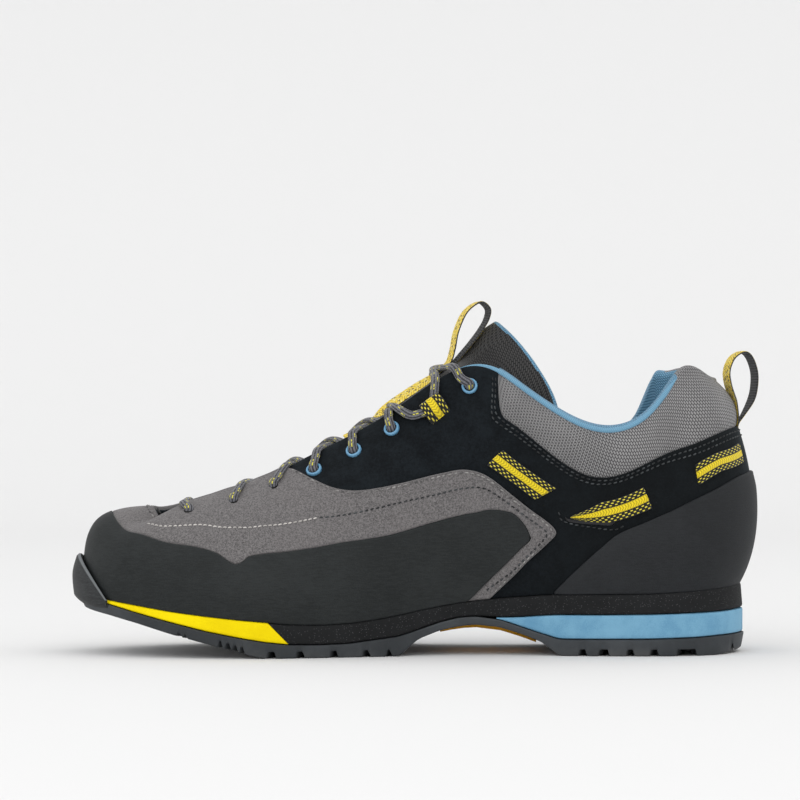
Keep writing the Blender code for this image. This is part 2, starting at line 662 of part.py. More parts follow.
def build_upper():
    # One hollow wall, open at the collar and throat and under the foot.
    half = np.concatenate((
        np.linspace(0.0, 2.0, 7)[:-1], np.linspace(2.0, CUFF_FRONT - 0.03, 7),
        np.linspace(CUFF_FRONT + 0.03, 10.6, 10)[:-1], np.linspace(10.6, TOE, 8),
    ))
    at = np.concatenate((half, AROUND - half[-2:0:-1]))
    seam = seam_up(at)
    low = np.array((0.0, 0.08, 0.2, 0.36, 0.53, 0.7, 0.86, 0.985))
    high = np.array((0.03, 0.3, 0.6, 0.85, 1.0))
    ups = np.concatenate((seam[None] * low[:, None], seam[None] + (1.0 - seam[None]) * high[:, None]))
    ats = np.broadcast_to(at, ups.shape)
    above = np.concatenate((low * 0.0, high))[:, None]
    over = (np.arange(len(ups)) >= len(low))[:, None]
    mesh_side = (from_heel(at) < CUFF_FRONT)[None]
    pad = COLLAR_BULGE * np.sin(math.pi * above) * cuff_share(at)[None]
    outer = on_wall(ats, ups, np.where(over & mesh_side, pad - COLLAR_STEP, 0.0))
    grow = smooth_step(ups, seam[None] - 0.16, seam[None] + 0.10) * cuff_share(at)[None]
    inner = on_wall(ats, ups, -(WALL + (COLLAR_WALL - WALL) * grow))
    crown = (outer[-1] + inner[-1]) / 2
    crown[:, 2] += 0.35 * np.linalg.norm(outer[-1] - inner[-1], axis=1)
    keep = [0, 2, 4, 6, 8, 10, 12]
    rings = np.concatenate((outer, crown[None], inner[keep][::-1]))
    return ring_solid("upper", rings, "nubuck", closed=True)


def apart(fixed, other, distance):
    # The fixed row of places, moved towards the other row by a distance over the wall.
    a, b = wall(fixed[:, 0], fixed[:, 1]), wall(other[:, 0], other[:, 1])
    share = distance / np.maximum(np.linalg.norm(a - b, axis=1), distance)
    return fixed + (other - fixed) * share[:, None]


def build_overlays():
    tail, front = np.array(RAND_TAIL), np.array(RAND_FRONT)
    rows = {
        "rand_low": np.vstack((tail[:, :2], front[:, :2])),
        "rand_top": np.vstack((tail[:, 2:], front[:, 2:])),
        "suede_low": np.vstack((front[:1, :2], tail[::-1, :2], tail[:, 2:], front[:, 2:])),
        "suede_top": np.array(SUEDE_TAIL + SUEDE_TOP),
        "counter_low": np.array([(x, 0.0) for x, _ in COUNTER_TOP]),
        "counter_top": np.array(COUNTER_TOP),
    }
    edge = {(side, name): places(side, row) for side in SIDES for name, row in rows.items()}
    foot = np.array((float(TOE), 0.0))
    throat = np.array((float(TOE), THROAT_BORDER))
    middle = toe_place(RAND_TOE)

    def both(name, centre):
        return around_toe(edge["medial", name], centre, edge["lateral", name])

    low, high = both("rand_low", foot), both("rand_top", middle)
    panel("rand", low, high, GAP, GAP + RAND, 4, "rubber")
    low, high = both("suede_low", middle), both("suede_top", throat)
    panel("vamp", apart(low, high, 2 * GAP), high, GAP * 1.5, GAP + SUEDE, 4, "suede")

    # The counter runs round the back of the heel, where the ring's places pass through 0.
    lateral = {name: edge["lateral", name] - (AROUND, 0) for name in ("counter_low", "counter_top")}
    back_heights = wall(0.0, np.linspace(0.0, 1.0, 200))[:, 2] - sole_height("top", x_of(0.02))
    back = np.interp(COUNTER_BACK * UPPER_HEIGHT, back_heights, np.linspace(0.0, 1.0, 200))
    low = np.vstack((edge["medial", "counter_low"], (0.0, 0.0), lateral["counter_low"][::-1]))
    high = np.vstack((edge["medial", "counter_top"], (0.0, back), lateral["counter_top"][::-1]))
    panel("heel_counter", low, high, GAP, GAP + COUNTER, 4, "rubber")
    for side in SIDES:
        for name, window in WEBBING_WINDOWS.items():
            row = np.array(window)
            panel(
                f"{side}_{name}_webbing", places(side, row[:, :2]), places(side, row[:, 2:]),
                GAP, GAP + WEBBING, 1, "webbing",
            )


def tongue_depth(at):
    # How far inside the wall's outer surface the tongue runs.
    return WALL + (COLLAR_WALL - WALL) * cuff_share(at) + 4 * GAP


# The tongue's free top: its middle, as a share of LENGTH and of UPPER_HEIGHT over the heel's feather
# line, and the place on the ring where its wings rest inside the cuff.
TONGUE_TOP = ((0.430, 0.971, 5.75), (0.408, 1.061, 5.20), (0.387, 1.106, 4.62))
# Across a wing from the middle out: shares of the way in x, in y and in z.
TONGUE_WING = ((0.0, 0.0, 0.0), (0.30, 0.36, 0.16), (0.62, 0.66, 0.40), (0.88, 0.88, 0.68), (1.0, 1.0, 1.0))


def tongue_rows():
    rows = []
    for at in (12.55, 11.8, 10.8, 9.6, 8.4, 7.3, 6.35):
        sides = []
        for place in (at, AROUND - at):
            ups = np.array((0.80, 0.88, 0.95, 0.995))
            sides.append(on_wall(np.full(4, place), ups, -tongue_depth(at) * np.ones(4)))
        medial, lateral = sides
        middle = (medial[-1] + lateral[-1]) / 2 + UP * TONGUE_CROWN
        rows.append(np.vstack((medial, middle, lateral[::-1])))
    for x_share, height, place in TONGUE_TOP:
        centre = np.array((x_of(x_share), 0.0, over_feather(height)))
        row = []
        for sign in (-1, 1):
            at = place if sign < 0 else AROUND - place
            wing = on_wall(at, 0.90, -(COLLAR_WALL + COLLAR_BULGE + 2 * GAP))
            half = [centre + (wing - centre) * np.array(step) for step in TONGUE_WING]
            row.append(half[::-1] if sign < 0 else half[1:])
        rows.append(np.vstack(row))
    return np.array(rows)


def build_tongue():
    keys = tongue_rows()
    steps = (1, 1, 1, 1, 1, 1, 2, 2, 2)
    outer = np.stack([open_spline(keys[:, j], steps) for j in range(keys.shape[1])], 1)
    along, across = np.gradient(outer, axis=0), np.gradient(outer, axis=1)
    out = np.cross(along, across)
    out /= np.linalg.norm(out, axis=-1, keepdims=True)
    out *= np.sign(out[len(out) // 2, 4, 2])
    place = np.linspace(0.0, 1.0, len(outer))[:, None, None]
    thick = TONGUE + (TONGUE_PAD - TONGUE) * smooth_step(place, 0.62, 0.80)
    thick = thick * (1.0 - 0.5 * smooth_step(place, 0.93, 1.0))
    thick = thick * (1.0 - 0.4 * (np.abs(np.linspace(-1, 1, 9))[None, :, None]) ** 2)
    sheet_solid("tongue", outer, outer - out * thick, "mesh")


def over_feather(height):
    # World height of a share of UPPER_HEIGHT over the heel's feather line.
    return HEEL_STACK * HEEL_FEATHER + height * UPPER_HEIGHT


def build_loops():
    ring = [(x_of(x), over_feather(z)) for x, z in HEEL_LOOP]
    steps = np.linspace(0.0, len(ring), 2 * len(ring), endpoint=False)
    ribbon("heel_loop", closed_spline(np.array(ring), steps), STRAP_WIDTH, STRAP, "webbing", closed=True)
    path = open_spline([(x_of(x), over_feather(z)) for x, z in TONGUE_LOOP], 2)
    ribbon("tongue_loop", path, STRAP_WIDTH, STRAP, "webbing")


def eyelet(name, at, up):
    centre, out = on_wall(at, up, GAP + EYELET / 2), wall_out(at, up)
    side = np.cross(out, UP)
    side /= np.linalg.norm(side)
    top = np.cross(side, out)
    turn = np.arange(8) * 2 * math.pi / 8
    rings = []
    for angle in turn:
        way = math.cos(angle) * side + math.sin(angle) * top
        profile = (
            (EYELET_HOLE, -0.4), (EYELET_RADIUS, -0.4), (EYELET_RADIUS, 0.0),
            ((EYELET_RADIUS + EYELET_HOLE) / 2, 0.5), (EYELET_HOLE, 0.0),
        )
        rings.append([centre + way * radius + out * EYELET * rise for radius, rise in profile])
    ring_solid(name, rings, "blue", closed=True)


def lace_points(side):
    found = [wall_place(side, *spot) for spot in PUNCHED + EYELETS + (KEEPER, TOP_EYELET)]
    lifts = [GAP + SUEDE] * 3 + [GAP + EYELET] * 3 + [GAP + WEBBING, GAP + EYELET]
    lifts = [lift + GAP + LACE_RADIUS for lift in lifts]
    return [(side, at, up, on_wall(at, up, lift)) for (at, up), lift in zip(found, lifts)]


def over_throat(side, x):
    # A point over the throat's edge at world x, clear of the rim by a lace.
    ats = np.linspace(5.6, TOE, 300)
    ats = ats if side == "medial" else AROUND - ats
    line_x = wall(ats, 1.0)[:, 0]
    at = float(np.interp(-x, -line_x, ats))
    lift = LACE_RADIUS + 6 * GAP
    return at, on_wall(at, 0.97, lift * 0.75) + UP * lift * 0.75


def lace_bar(name, start, end, middle_x, ends=(0.0, 1.0)):
    half = []
    for side, at, up, point in (start, end):
        rim_at, rim = over_throat(side, point[0] * 0.45 + middle_x * 0.55)
        slope = on_wall((at + rim_at) / 2, (up + 0.97) / 2, LACE_RADIUS + SUEDE + 2 * GAP)
        half.append((point, slope, rim))
    middle = (over_throat("medial", middle_x)[1] + over_throat("lateral", middle_x)[1]) / 2
    middle[2] += LACE_RADIUS * 0.7
    path = open_spline((*half[0], middle, *half[1][::-1]), (1, 1, 2, 2, 1, 1))
    count = len(path) - 1
    low, high = int(round(ends[0] * count)), int(round(ends[1] * count))
    return ring_solid(name, tube_rings(path[low:high + 1], LACE_RADIUS), "cord")


def build_laces():
    medial, lateral = lace_points("medial"), lace_points("lateral")
    first_x = medial[0][3][0] - 1.8 * LACE_RADIUS
    lace_bar("lace_bar", medial[0], lateral[0], first_x, BAR_SHOWN)
    for i in range(7):
        middle_x = (medial[i][3][0] + medial[i + 1][3][0]) / 2 - (0.0015 + 0.0011 * i)
        one = lace_bar(f"lace_cross_{i + 1}", medial[i], lateral[i + 1], middle_x, LACE_SHOWN)
        two = lace_bar("second_bar", lateral[i], medial[i + 1], middle_x, LACE_SHOWN)
        two.hide_render = True
        two.display_type = "WIRE"
        join = one.modifiers.new("join", "BOOLEAN")
        join.operation = "UNION"
        join.object = two
        join.solver = "EXACT"
    for name in SIDES:
        for number, spot in enumerate(EYELETS + (TOP_EYELET,)):
            eyelet(f"{name}_eyelet_{number + 1}", *wall_place(name, *spot))
        x, h = KEEPER
        half = KEEPER_HALF / LENGTH
        low = places(name, [(x - half, h - 0.055), (x, h - 0.058), (x + half, h - 0.060)])
        high = places(name, [(x - half, h + 0.060), (x, h + 0.057), (x + half, h + 0.045)])
        panel(f"{name}_lace_keeper", low, high, GAP, GAP + WEBBING, 2, "webbing")


def main():
    clear_scene()
    build_sole()
    build_insole()
    build_upper()
    build_overlays()
    build_tongue()
    build_loops()
    build_laces()


main()
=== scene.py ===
import math

import bmesh
import bpy
import numpy as np
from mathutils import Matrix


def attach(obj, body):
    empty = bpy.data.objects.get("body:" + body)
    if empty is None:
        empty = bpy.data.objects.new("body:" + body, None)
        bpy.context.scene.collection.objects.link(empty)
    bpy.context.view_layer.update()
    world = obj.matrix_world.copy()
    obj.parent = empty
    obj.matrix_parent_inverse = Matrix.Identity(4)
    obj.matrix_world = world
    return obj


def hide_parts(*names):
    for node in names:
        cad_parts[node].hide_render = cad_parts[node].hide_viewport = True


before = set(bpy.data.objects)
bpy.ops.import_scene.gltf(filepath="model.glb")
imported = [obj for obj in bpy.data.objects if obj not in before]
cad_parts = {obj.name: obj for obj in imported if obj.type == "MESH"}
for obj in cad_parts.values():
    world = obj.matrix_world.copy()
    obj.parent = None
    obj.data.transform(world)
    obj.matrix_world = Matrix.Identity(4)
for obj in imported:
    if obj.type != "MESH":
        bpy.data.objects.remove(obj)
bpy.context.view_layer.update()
up3 = np.array((0.0, 0.0, 1.0))

# Sizes of the shoe itself, the same as in its solids
shoe = {
    "length": 0.292, "ballWidth": 0.104, "heelStack": 0.026, "upperHeight": 0.100,
    "wall": 0.0024, "collarWall": 0.0072, "collarStep": 0.0009, "featherInset": 0.0032, "gap": 0.0003,
    "suede": 0.0013, "rand": 0.0021, "counter": 0.0017, "cuffFront": 5.45,
}

# One row for each section from the heel to the toe's tip: where the wall meets the sole, where its
# top edge lies, how high that is, and how the wall leaves the one and reaches the other.
sectionColumns = (
    "xSole", "med", "lat", "xEdge", "edgeMed", "edgeLat", "hMed", "hLat",
    "flare", "rise", "shoulder", "drop", "seam",
)
sections = (
    (0.022, 0.000, 0.000, 0.057, 0.000, 0.000, 0.872, 0.872, 0.125, 0.22, 0.150, 0.300, 0.775),
    (0.045, 0.200, 0.200, 0.072, 0.130, 0.130, 0.888, 0.882, 0.110, 0.22, 0.110, 0.300, 0.745),
    (0.105, 0.335, 0.335, 0.112, 0.235, 0.235, 0.918, 0.908, 0.080, 0.22, 0.050, 0.300, 0.665),
    (0.190, 0.360, 0.365, 0.168, 0.300, 0.300, 0.742, 0.712, 0.050, 0.24, 0.010, 0.240, 0.73),
    (0.270, 0.345, 0.370, 0.250, 0.317, 0.322, 0.690, 0.630, 0.045, 0.24, -0.020, 0.220, 0.72),
    (0.360, 0.310, 0.375, 0.345, 0.300, 0.300, 0.865, 0.820, 0.055, 0.30, 0.030, 0.280, 0.80),
    (0.450, 0.320, 0.395, 0.425, 0.230, 0.210, 0.990, 0.980, 0.050, 0.32, 0.100, 0.280, 0.80),
    (0.540, 0.375, 0.435, 0.530, 0.183, 0.120, 0.870, 0.870, 0.040, 0.30, 0.165, 0.200, 0.80),
    (0.640, 0.455, 0.490, 0.635, 0.163, 0.080, 0.730, 0.730, 0.045, 0.28, 0.185, 0.140, 0.80),
    (0.730, 0.500, 0.490, 0.720, 0.158, 0.053, 0.596, 0.596, 0.040, 0.27, 0.200, 0.100, 0.80),
    (0.820, 0.480, 0.425, 0.790, 0.154, 0.038, 0.500, 0.500, 0.040, 0.28, 0.200, 0.070, 0.80),
    (0.900, 0.410, 0.315, 0.840, 0.144, 0.024, 0.430, 0.430, 0.034, 0.30, 0.190, 0.030, 0.80),
    (0.957, 0.285, 0.165, 0.868, 0.120, -0.020, 0.395, 0.400, 0.030, 0.32, 0.200, 0.010, 0.80),
    (0.985, 0.070, -0.070, 0.878, 0.067, -0.067, 0.400, 0.400, 0.030, 0.32, 0.225, 0.003, 0.80),
)
toe = len(sections) - 1  # the toe's tip on the ring of places; the heel is at 0
around = 2 * toe

# The sole's side: ground, top of the outsole, top of the heel wedge, top of the midsole
soleColumns = ("x", "ground", "tread", "wedge", "top")
soleSide = (
    (0.000, 0.13, 0.33, 0.73, 1.150),
    (0.030, 0.06, 0.32, 0.72, 1.125),
    (0.065, 0.00, 0.31, 0.70, 1.080),
    (0.100, 0.00, 0.29, 0.69, 1.045),
    (0.165, 0.00, 0.27, 0.67, 1.000),
    (0.240, 0.00, 0.265, 0.66, 0.990),
    (0.295, 0.00, 0.265, 0.66, 0.980),
    (0.320, 0.22, 0.35, 0.645, 0.970),
    (0.350, 0.35, 0.46, 0.62, 0.945),
    (0.380, 0.455, 0.575, 0.61, 0.920),
    (0.416, 0.50, 0.63, 0.63, 0.880),
    (0.440, 0.47, 0.61, 0.61, 0.850),
    (0.466, 0.41, 0.54, 0.54, 0.800),
    (0.498, 0.27, 0.42, 0.42, 0.730),
    (0.525, 0.00, 0.32, 0.32, 0.665),
    (0.550, 0.00, 0.285, 0.285, 0.610),
    (0.595, 0.00, 0.22, 0.22, 0.545),
    (0.637, 0.00, 0.205, 0.205, 0.525),
    (0.684, 0.00, 0.215, 0.215, 0.540),
    (0.715, 0.00, 0.255, 0.255, 0.575),
    (0.750, 0.09, 0.32, 0.32, 0.610),
    (0.800, 0.24, 0.43, 0.43, 0.670),
    (0.850, 0.385, 0.565, 0.565, 0.740),
    (0.900, 0.55, 0.71, 0.71, 0.830),
    (0.940, 0.66, 0.83, 0.83, 0.895),
    (1.000, 0.78, 0.92, 0.92, 0.985),
)


# The smooth closed curve through evenly spaced values: a cubic between neighbours with equal bend.
def closedSpline(values, at):
    count = len(values)
    one = np.eye(count)
    system = 4.0 * one + np.roll(one, 1, 0) + np.roll(one, -1, 0)
    bend = np.roll(values, 1, 0) - 2.0 * values + np.roll(values, -1, 0)
    curve = np.linalg.solve(system, 6.0 * bend)
    low = np.floor(at).astype(int)
    part = (at - low)[..., None]
    low, high = low % count, (low + 1) % count
    back = 1.0 - part
    return (back * values[low] + part * values[high]
            + (back**3 - back) * curve[low] / 6.0 + (part**3 - part) * curve[high] / 6.0)


# The cubic from b to c whose slope at b is half of c - a, and at c half of d - b.
def curveBetween(a, b, c, d, t):
    return 0.5 * (2 * b + (c - a) * t + (2 * a - 5 * b + 4 * c - d) * t**2 + (3 * b - a - 3 * c + d) * t**3)


# Such cubics through a row of points, read at equal steps of the length along it.
def evenSpline(points, count):
    points = np.asarray(points, float)
    ends = np.vstack((2 * points[0] - points[1], points, 2 * points[-1] - points[-2]))
    t = np.linspace(0.0, 1.0, 24, endpoint=False)[None, :, None]
    a, b, c, d = (ends[k:len(ends) - 3 + k, None] for k in range(4))
    dense = curveBetween(a, b, c, d, t).reshape(-1, points.shape[1])
    dense = np.vstack((dense, points[-1:]))
    run = np.r_[0.0, np.cumsum(np.linalg.norm(np.diff(dense, axis=0), axis=1))]
    at = np.linspace(0.0, run[-1], count)
    return np.stack([np.interp(at, run, dense[:, k]) for k in range(points.shape[1])], 1)


# 0 before start, 1 after end, with level ends: 3s^2 - 2s^3.
def smooth(value, start, end):
    share = np.clip((value - start) / (end - start), 0.0, 1.0)
    return share * share * (3.0 - 2.0 * share)


# Height of one line of the sole's side at world x: straight between its rows, eased by averaging
# three nearby readings.
def soleHeight(column, x):
    rows = np.array(soleSide)
    share, near = 0.5 - np.asarray(x) / shoe["length"], 0.006
    read = lambda s: np.interp(s, rows[:, 0], rows[:, soleColumns.index(column)])
    soft = (read(share - near) + 2 * read(share) + read(share + near)) / 4
    return soft * shoe["heelStack"]


# World x at a share of the length: the heel's back lies at half the length, the toe at minus half.
def xOf(share):
    return shoe["length"] * (0.5 - np.asarray(share))


# The sections as one closed ring: the medial side from heel to toe, then the lateral side back.
def sectionRing():
    rows = np.array(sections)
    pick = {name: rows[:, i] for i, name in enumerate(sectionColumns)}
    both = lambda medial, lateral: np.concatenate((medial, lateral[-2:0:-1]))
    ring = {name: both(pick[name], pick[name]) for name in ("flare", "rise", "shoulder", "drop", "seam")}
    ring["soleX"] = xOf(both(pick["xSole"], pick["xSole"]))
    ring["soleY"] = shoe["ballWidth"] * both(-pick["med"], pick["lat"])
    ring["edgeX"] = xOf(both(pick["xEdge"], pick["xEdge"]))
    ring["edgeY"] = shoe["ballWidth"] * both(-pick["edgeMed"], pick["edgeLat"])
    ring["edgeH"] = shoe["upperHeight"] * both(pick["hMed"], pick["hLat"])
    return ring


ring = sectionRing()
ringStep = 0.01
ringPlaces = np.arange(0.0, around, ringStep)
ringTable = {name: closedSpline(values[:, None], ringPlaces)[:, 0] for name, values in ring.items()}

# Bells added to the top edge: the lateral collar rises earlier at the heel than the medial one, and the
# medial edge sags at the throat's front end. Each has its place round the ring, half width and height.
edgeBells = ((around - 2.60, 0.36, 0.0092), (11.68, 0.50, -0.0048))
for place, width, height in edgeBells:
    ringTable["edgeH"] += height * np.exp(-(((ringPlaces - place) / width) ** 2))


# A value of the ring at any place: straight between neighbours of the dense table.
def ringAt(name, at):
    table = ringTable[name]
    place = (np.asarray(at, float) % around) / ringStep
    low = np.floor(place).astype(int) % len(table)
    return table[low] + (place - np.floor(place)) * (table[(low + 1) % len(table)] - table[low])


# The sole's edge in plan, moved inwards, and its outward direction.
def outline(at, inset=0.0):
    at = np.asarray(at, float)
    along = np.stack([ringAt(n, at + 0.02) - ringAt(n, at - 0.02) for n in ("soleX", "soleY")], -1)
    along /= np.linalg.norm(along, axis=-1, keepdims=True)
    out = np.stack((-along[..., 1], along[..., 0]), -1)
    edge = np.stack((ringAt("soleX", at), ringAt("soleY", at)), -1)
    return edge - np.asarray(inset)[..., None] * out, out


# The upper's outer surface: at every place round the ring a cubic arc with two handles rises from the
# sole (up 0) to the top edge (up 1), leaving the sole by flare and rise and meeting the edge by
# shoulder and drop.
def wall(at, up):
    at, up = np.broadcast_arrays(np.asarray(at, float), np.asarray(up, float))
    plan, out = outline(at, shoe["featherInset"])
    out = np.concatenate((out, np.zeros_like(out[..., :1])), -1)
    foot = np.concatenate((plan, soleHeight("top", plan[..., :1]) + shoe["gap"]), -1)
    edgeX = ringAt("edgeX", at)
    edge = np.stack((edgeX, ringAt("edgeY", at), soleHeight("top", edgeX) + ringAt("edgeH", at)), -1)
    low = foot + out * (shoe["ballWidth"] * ringAt("flare", at))[..., None]
    low = low + up3 * (shoe["upperHeight"] * ringAt("rise", at))[..., None]
    high = edge + out * (shoe["ballWidth"] * ringAt("shoulder", at))[..., None]
    high = high - up3 * (shoe["upperHeight"] * ringAt("drop", at))[..., None]
    t = up[..., None]
    s = 1.0 - t
    return s**3 * foot + 3 * s * s * t * low + 3 * s * t * t * high + t**3 * edge


# The wall's outward direction: the cross product of its rise and its run.
def wallOut(at, up):
    small = 0.01
    at, up = np.broadcast_arrays(np.asarray(at, float), np.asarray(up, float))
    inner = np.clip(up, small, 1.0 - small)
    rise = wall(at, inner + small) - wall(at, inner - small)
    run = wall(at + 0.03, inner) - wall(at - 0.03, inner)
    out = np.cross(rise, run)
    return out / np.linalg.norm(out, axis=-1, keepdims=True)


# How far round the ring a place lies from the heel, the same on both sides.
def fromHeel(at):
    at = np.asarray(at, float) % around
    return np.minimum(at, around - at)


# Soft troughs where the vamp bends and where the quarter wraps the heel, given as:
# share of the length from the heel, height, lean, half width, depth (metres) and reach up and down.
wear = {
    "creases": (
        (0.735, 0.052, 0.30, 0.0045, 0.00075, 0.020),
        (0.700, 0.062, -0.10, 0.0040, 0.00055, 0.018),
        (0.775, 0.054, 0.55, 0.0050, 0.00050, 0.014),
        (0.560, 0.078, -0.35, 0.0060, 0.00050, 0.016),
        (0.470, 0.085, -0.55, 0.0070, 0.00055, 0.016),
        (0.400, 0.066, 0.50, 0.0080, 0.00045, 0.018),
    ),
}


# Depth of the troughs: a bell across each slanting line, fading towards both of its ends.
def creaseDepth(point):
    x, z = point[..., 0], point[..., 2]
    depth = np.zeros_like(x)
    for share, height, lean, width, deep, reach in wear["creases"]:
        dx, dz = x - xOf(share), z - height
        across = dx * math.cos(lean) + dz * math.sin(lean)
        along = -dx * math.sin(lean) + dz * math.cos(lean)
        depth += deep * np.exp(-(across / width) ** 2) * np.exp(-(along / reach) ** 4)
    return depth


# A point off the wall along its outward direction, less the depth of the troughs.
def onWall(at, up, offset, creased=True):
    point = wall(at, up)
    out = wallOut(at, up)
    off = np.asarray(offset) - (creaseDepth(point) if creased else 0.0)
    return point + out * np.asarray(off)[..., None]


# How far up the wall the cuff's seam lies: where the height has risen by the seam's share.
def seamUp(at):
    at = np.asarray(at, float)
    steps = np.linspace(0.0, 1.0, 60)
    heights = wall(at[..., None], steps)[..., 2]
    target = heights[..., 0] + ringAt("seam", at) * (heights[..., -1] - heights[..., 0])
    flat = [np.interp(z, row, steps) for z, row in zip(target.ravel(), heights.reshape(-1, 60))]
    return np.array(flat).reshape(at.shape)


finder = {}


# The place (round, up) on one side whose side view is at that share of the length and height.
def placeOf(side, xShare, height):
    if side not in finder:
        ats = np.linspace(0.0, toe, 60 * toe + 1)
        ats = ats if side == "medial" else around - ats
        ups = np.linspace(0.0, 1.0, 161)
        finder[side] = (ats, ups, wall(ats[:, None], ups[None, :]))
    ats, ups, grid = finder[side]
    x = xOf(xShare)
    if height <= 0.0 or height >= 1.0:
        column = 0 if height <= 0.0 else -1
        return np.interp(-x, -grid[:, column, 0], ats), 0.0 if height <= 0.0 else 0.975
    z = soleHeight("top", x) + height * shoe["upperHeight"]
    miss = (grid[..., 0] - x) ** 2 + (grid[..., 2] - z) ** 2
    i, j = np.unravel_index(np.argmin(miss), miss.shape)
    return ats[i], ups[j]


# The places on one side for a list of points of the side view.
def places(side, points):
    return np.array([placeOf(side, x, h) for x, h in points])


# The place at the toe's tip that lies at a height over the midsole.
def toePlace(height):
    steps = np.linspace(0.0, 1.0, 400)
    line = wall(float(toe), steps)
    z = soleHeight("top", line[:, 0]) + height * shoe["upperHeight"]
    return np.array((float(toe), steps[np.argmin(np.abs(line[:, 2] - z))]))


# Quads of a grid: each joins a point, the next row's, and both of the next column's.
def gridFaces(rows, columns):
    i, j = np.meshgrid(np.arange(rows - 1), np.arange(columns - 1), indexing="ij")
    corner = i * columns + j
    return np.stack((corner, corner + columns, corner + columns + 1, corner + 1), -1).reshape(-1, 4)


# One piece from points and quads: doubles are merged, which closes seams and poles, and faces turned out.
def pieceFrom(name, points, faces, uv, slots, materials, sharp=50.0, merge=2e-6):
    mesh = bpy.data.meshes.new(name)
    mesh.from_pydata(points.reshape(-1, 3).tolist(), [], faces.tolist())
    layer = mesh.uv_layers.new(name="UVMap")
    corner = np.zeros(len(mesh.loops), np.int32)
    mesh.loops.foreach_get("vertex_index", corner)
    layer.data.foreach_set("uv", uv.reshape(-1, 2)[corner].astype(np.float32).ravel())
    mesh.polygons.foreach_set("material_index", slots.astype(np.int32))
    work = bmesh.new()
    work.from_mesh(mesh)
    bmesh.ops.remove_doubles(work, verts=work.verts, dist=merge)
    bmesh.ops.recalc_face_normals(work, faces=work.faces)
    work.to_mesh(mesh)
    work.free()
    for material in materials:
        mesh.materials.append(material)
    mesh.shade_smooth()
    mesh.set_sharp_from_angle(angle=math.radians(sharp))
    made = bpy.data.objects.new(name, mesh)
    bpy.context.scene.collection.objects.link(made)
    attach(made, "root")
    return made


# One piece from several sheets, each a grid of points, its UV in metres and the slot of each quad.
def piece(name, sheets, materials, sharp=50.0):
    points, faces, uvs, slots, start = [], [], [], [], 0
    for grid, uv, slot in sheets:
        rows, columns = grid.shape[:2]
        points.append(grid.reshape(-1, 3))
        faces.append(gridFaces(rows, columns) + start)
        uvs.append(np.broadcast_to(uv, (rows, columns, 2)).reshape(-1, 2))
        slots.append(np.broadcast_to(slot, (rows - 1, columns - 1)).ravel())
        start += rows * columns
    points, faces, uvs = np.vstack(points), np.vstack(faces), np.vstack(uvs)
    return pieceFrom(name, points, faces, uvs, np.concatenate(slots), materials, sharp)


# Closes an outer grid over an inner one: the outer gets one more row all round, on the inner's border.
def closedSheets(outer, inner, uv):
    grow = ((1, 1), (1, 1), (0, 0))
    over, under = np.pad(outer, grow, mode="edge"), np.pad(inner, grow, mode="edge")
    rim = np.ones(over.shape[:2], bool)
    rim[1:-1, 1:-1] = False
    over[rim] = under[rim]
    return [(over, np.pad(uv, grow, mode="edge"), 0), (inner, uv, 0)]


# Carries a closed profile along a path: its first number lies across, its second along the normals.
def sweep(path, normals, profile, scale=None):
    along = np.gradient(path, axis=0)
    along /= np.linalg.norm(along, axis=1, keepdims=True)
    side = np.cross(along, normals)
    side /= np.linalg.norm(side, axis=1, keepdims=True)
    top = np.cross(side, along)
    shape = np.broadcast_to(profile, (len(path), *profile.shape[-2:]))
    if scale is not None:
        shape = shape * np.asarray(scale)[:, None, None]
    return path[:, None] + side[:, None] * shape[..., :1] + top[:, None] * shape[..., 1:]


# Length run along each row and each column of a grid, in metres.
def runs(grid):
    across = np.linalg.norm(np.diff(grid, axis=1), axis=-1)
    upward = np.linalg.norm(np.diff(grid, axis=0), axis=-1)
    rows, columns = grid.shape[:2]
    u = np.concatenate((np.zeros((rows, 1)), np.cumsum(across, 1)), 1)
    v = np.concatenate((np.zeros((1, columns)), np.cumsum(upward, 0)))
    return u, v


# Closed oval round a tube, starting and ending underneath.
def oval(width, height, sides=16):
    turn = np.linspace(0.0, 2 * math.pi, sides + 1) - math.pi / 2
    return np.stack((np.cos(turn) * width / 2, np.sin(turn) * height / 2), -1)


# Closed strip profile with round edges: a superellipse of power 5.
def stripProfile(width, thick, sides=28):
    turn = np.linspace(0.0, 2 * math.pi, sides + 1)
    c, s = np.cos(turn), np.sin(turn)
    power = 2 / 5
    across = np.sign(c) * np.abs(c)**power * width / 2
    upward = np.sign(s) * np.abs(s)**power * thick / 2
    return np.stack((across, upward), -1)


# Shares from 0 to 1 that crowd towards both ends.
def crowded(count, squeeze=0.7):
    t = np.linspace(0.0, 1.0, count)
    return t * (1.0 - squeeze) + squeeze * (0.5 - 0.5 * np.cos(math.pi * t))


# Two rows of places on one parameter, by straight or cubic steps, read at equal steps of the longer run.
def evenPlaces(low, high, count, straight=False):
    both = np.hstack((np.asarray(low, float), np.asarray(high, float)))
    ends = np.vstack((2 * both[0] - both[1], both, 2 * both[-1] - both[-2]))
    t = np.linspace(0.0, 1.0, 16, endpoint=False)[None, :, None]
    a, b, c, d = (ends[k:len(ends) - 3 + k, None] for k in range(4))
    dense = b + (c - b) * t if straight else curveBetween(a, b, c, d, t)
    dense = np.vstack((dense.reshape(-1, 4), both[-1:]))
    dense[:, 1::2] = np.clip(dense[:, 1::2], 0.0, 1.0)
    step = [np.linalg.norm(np.diff(wall(dense[:, k], dense[:, k + 1]), axis=0), axis=1) for k in (0, 2)]
    run = np.r_[0.0, np.cumsum(np.maximum(*step) + 1e-7)]
    read = np.linspace(0.0, run[-1], count)
    even = np.stack([np.interp(read, run, dense[:, k]) for k in range(4)], 1)
    return even[:, :2], even[:, 2:]


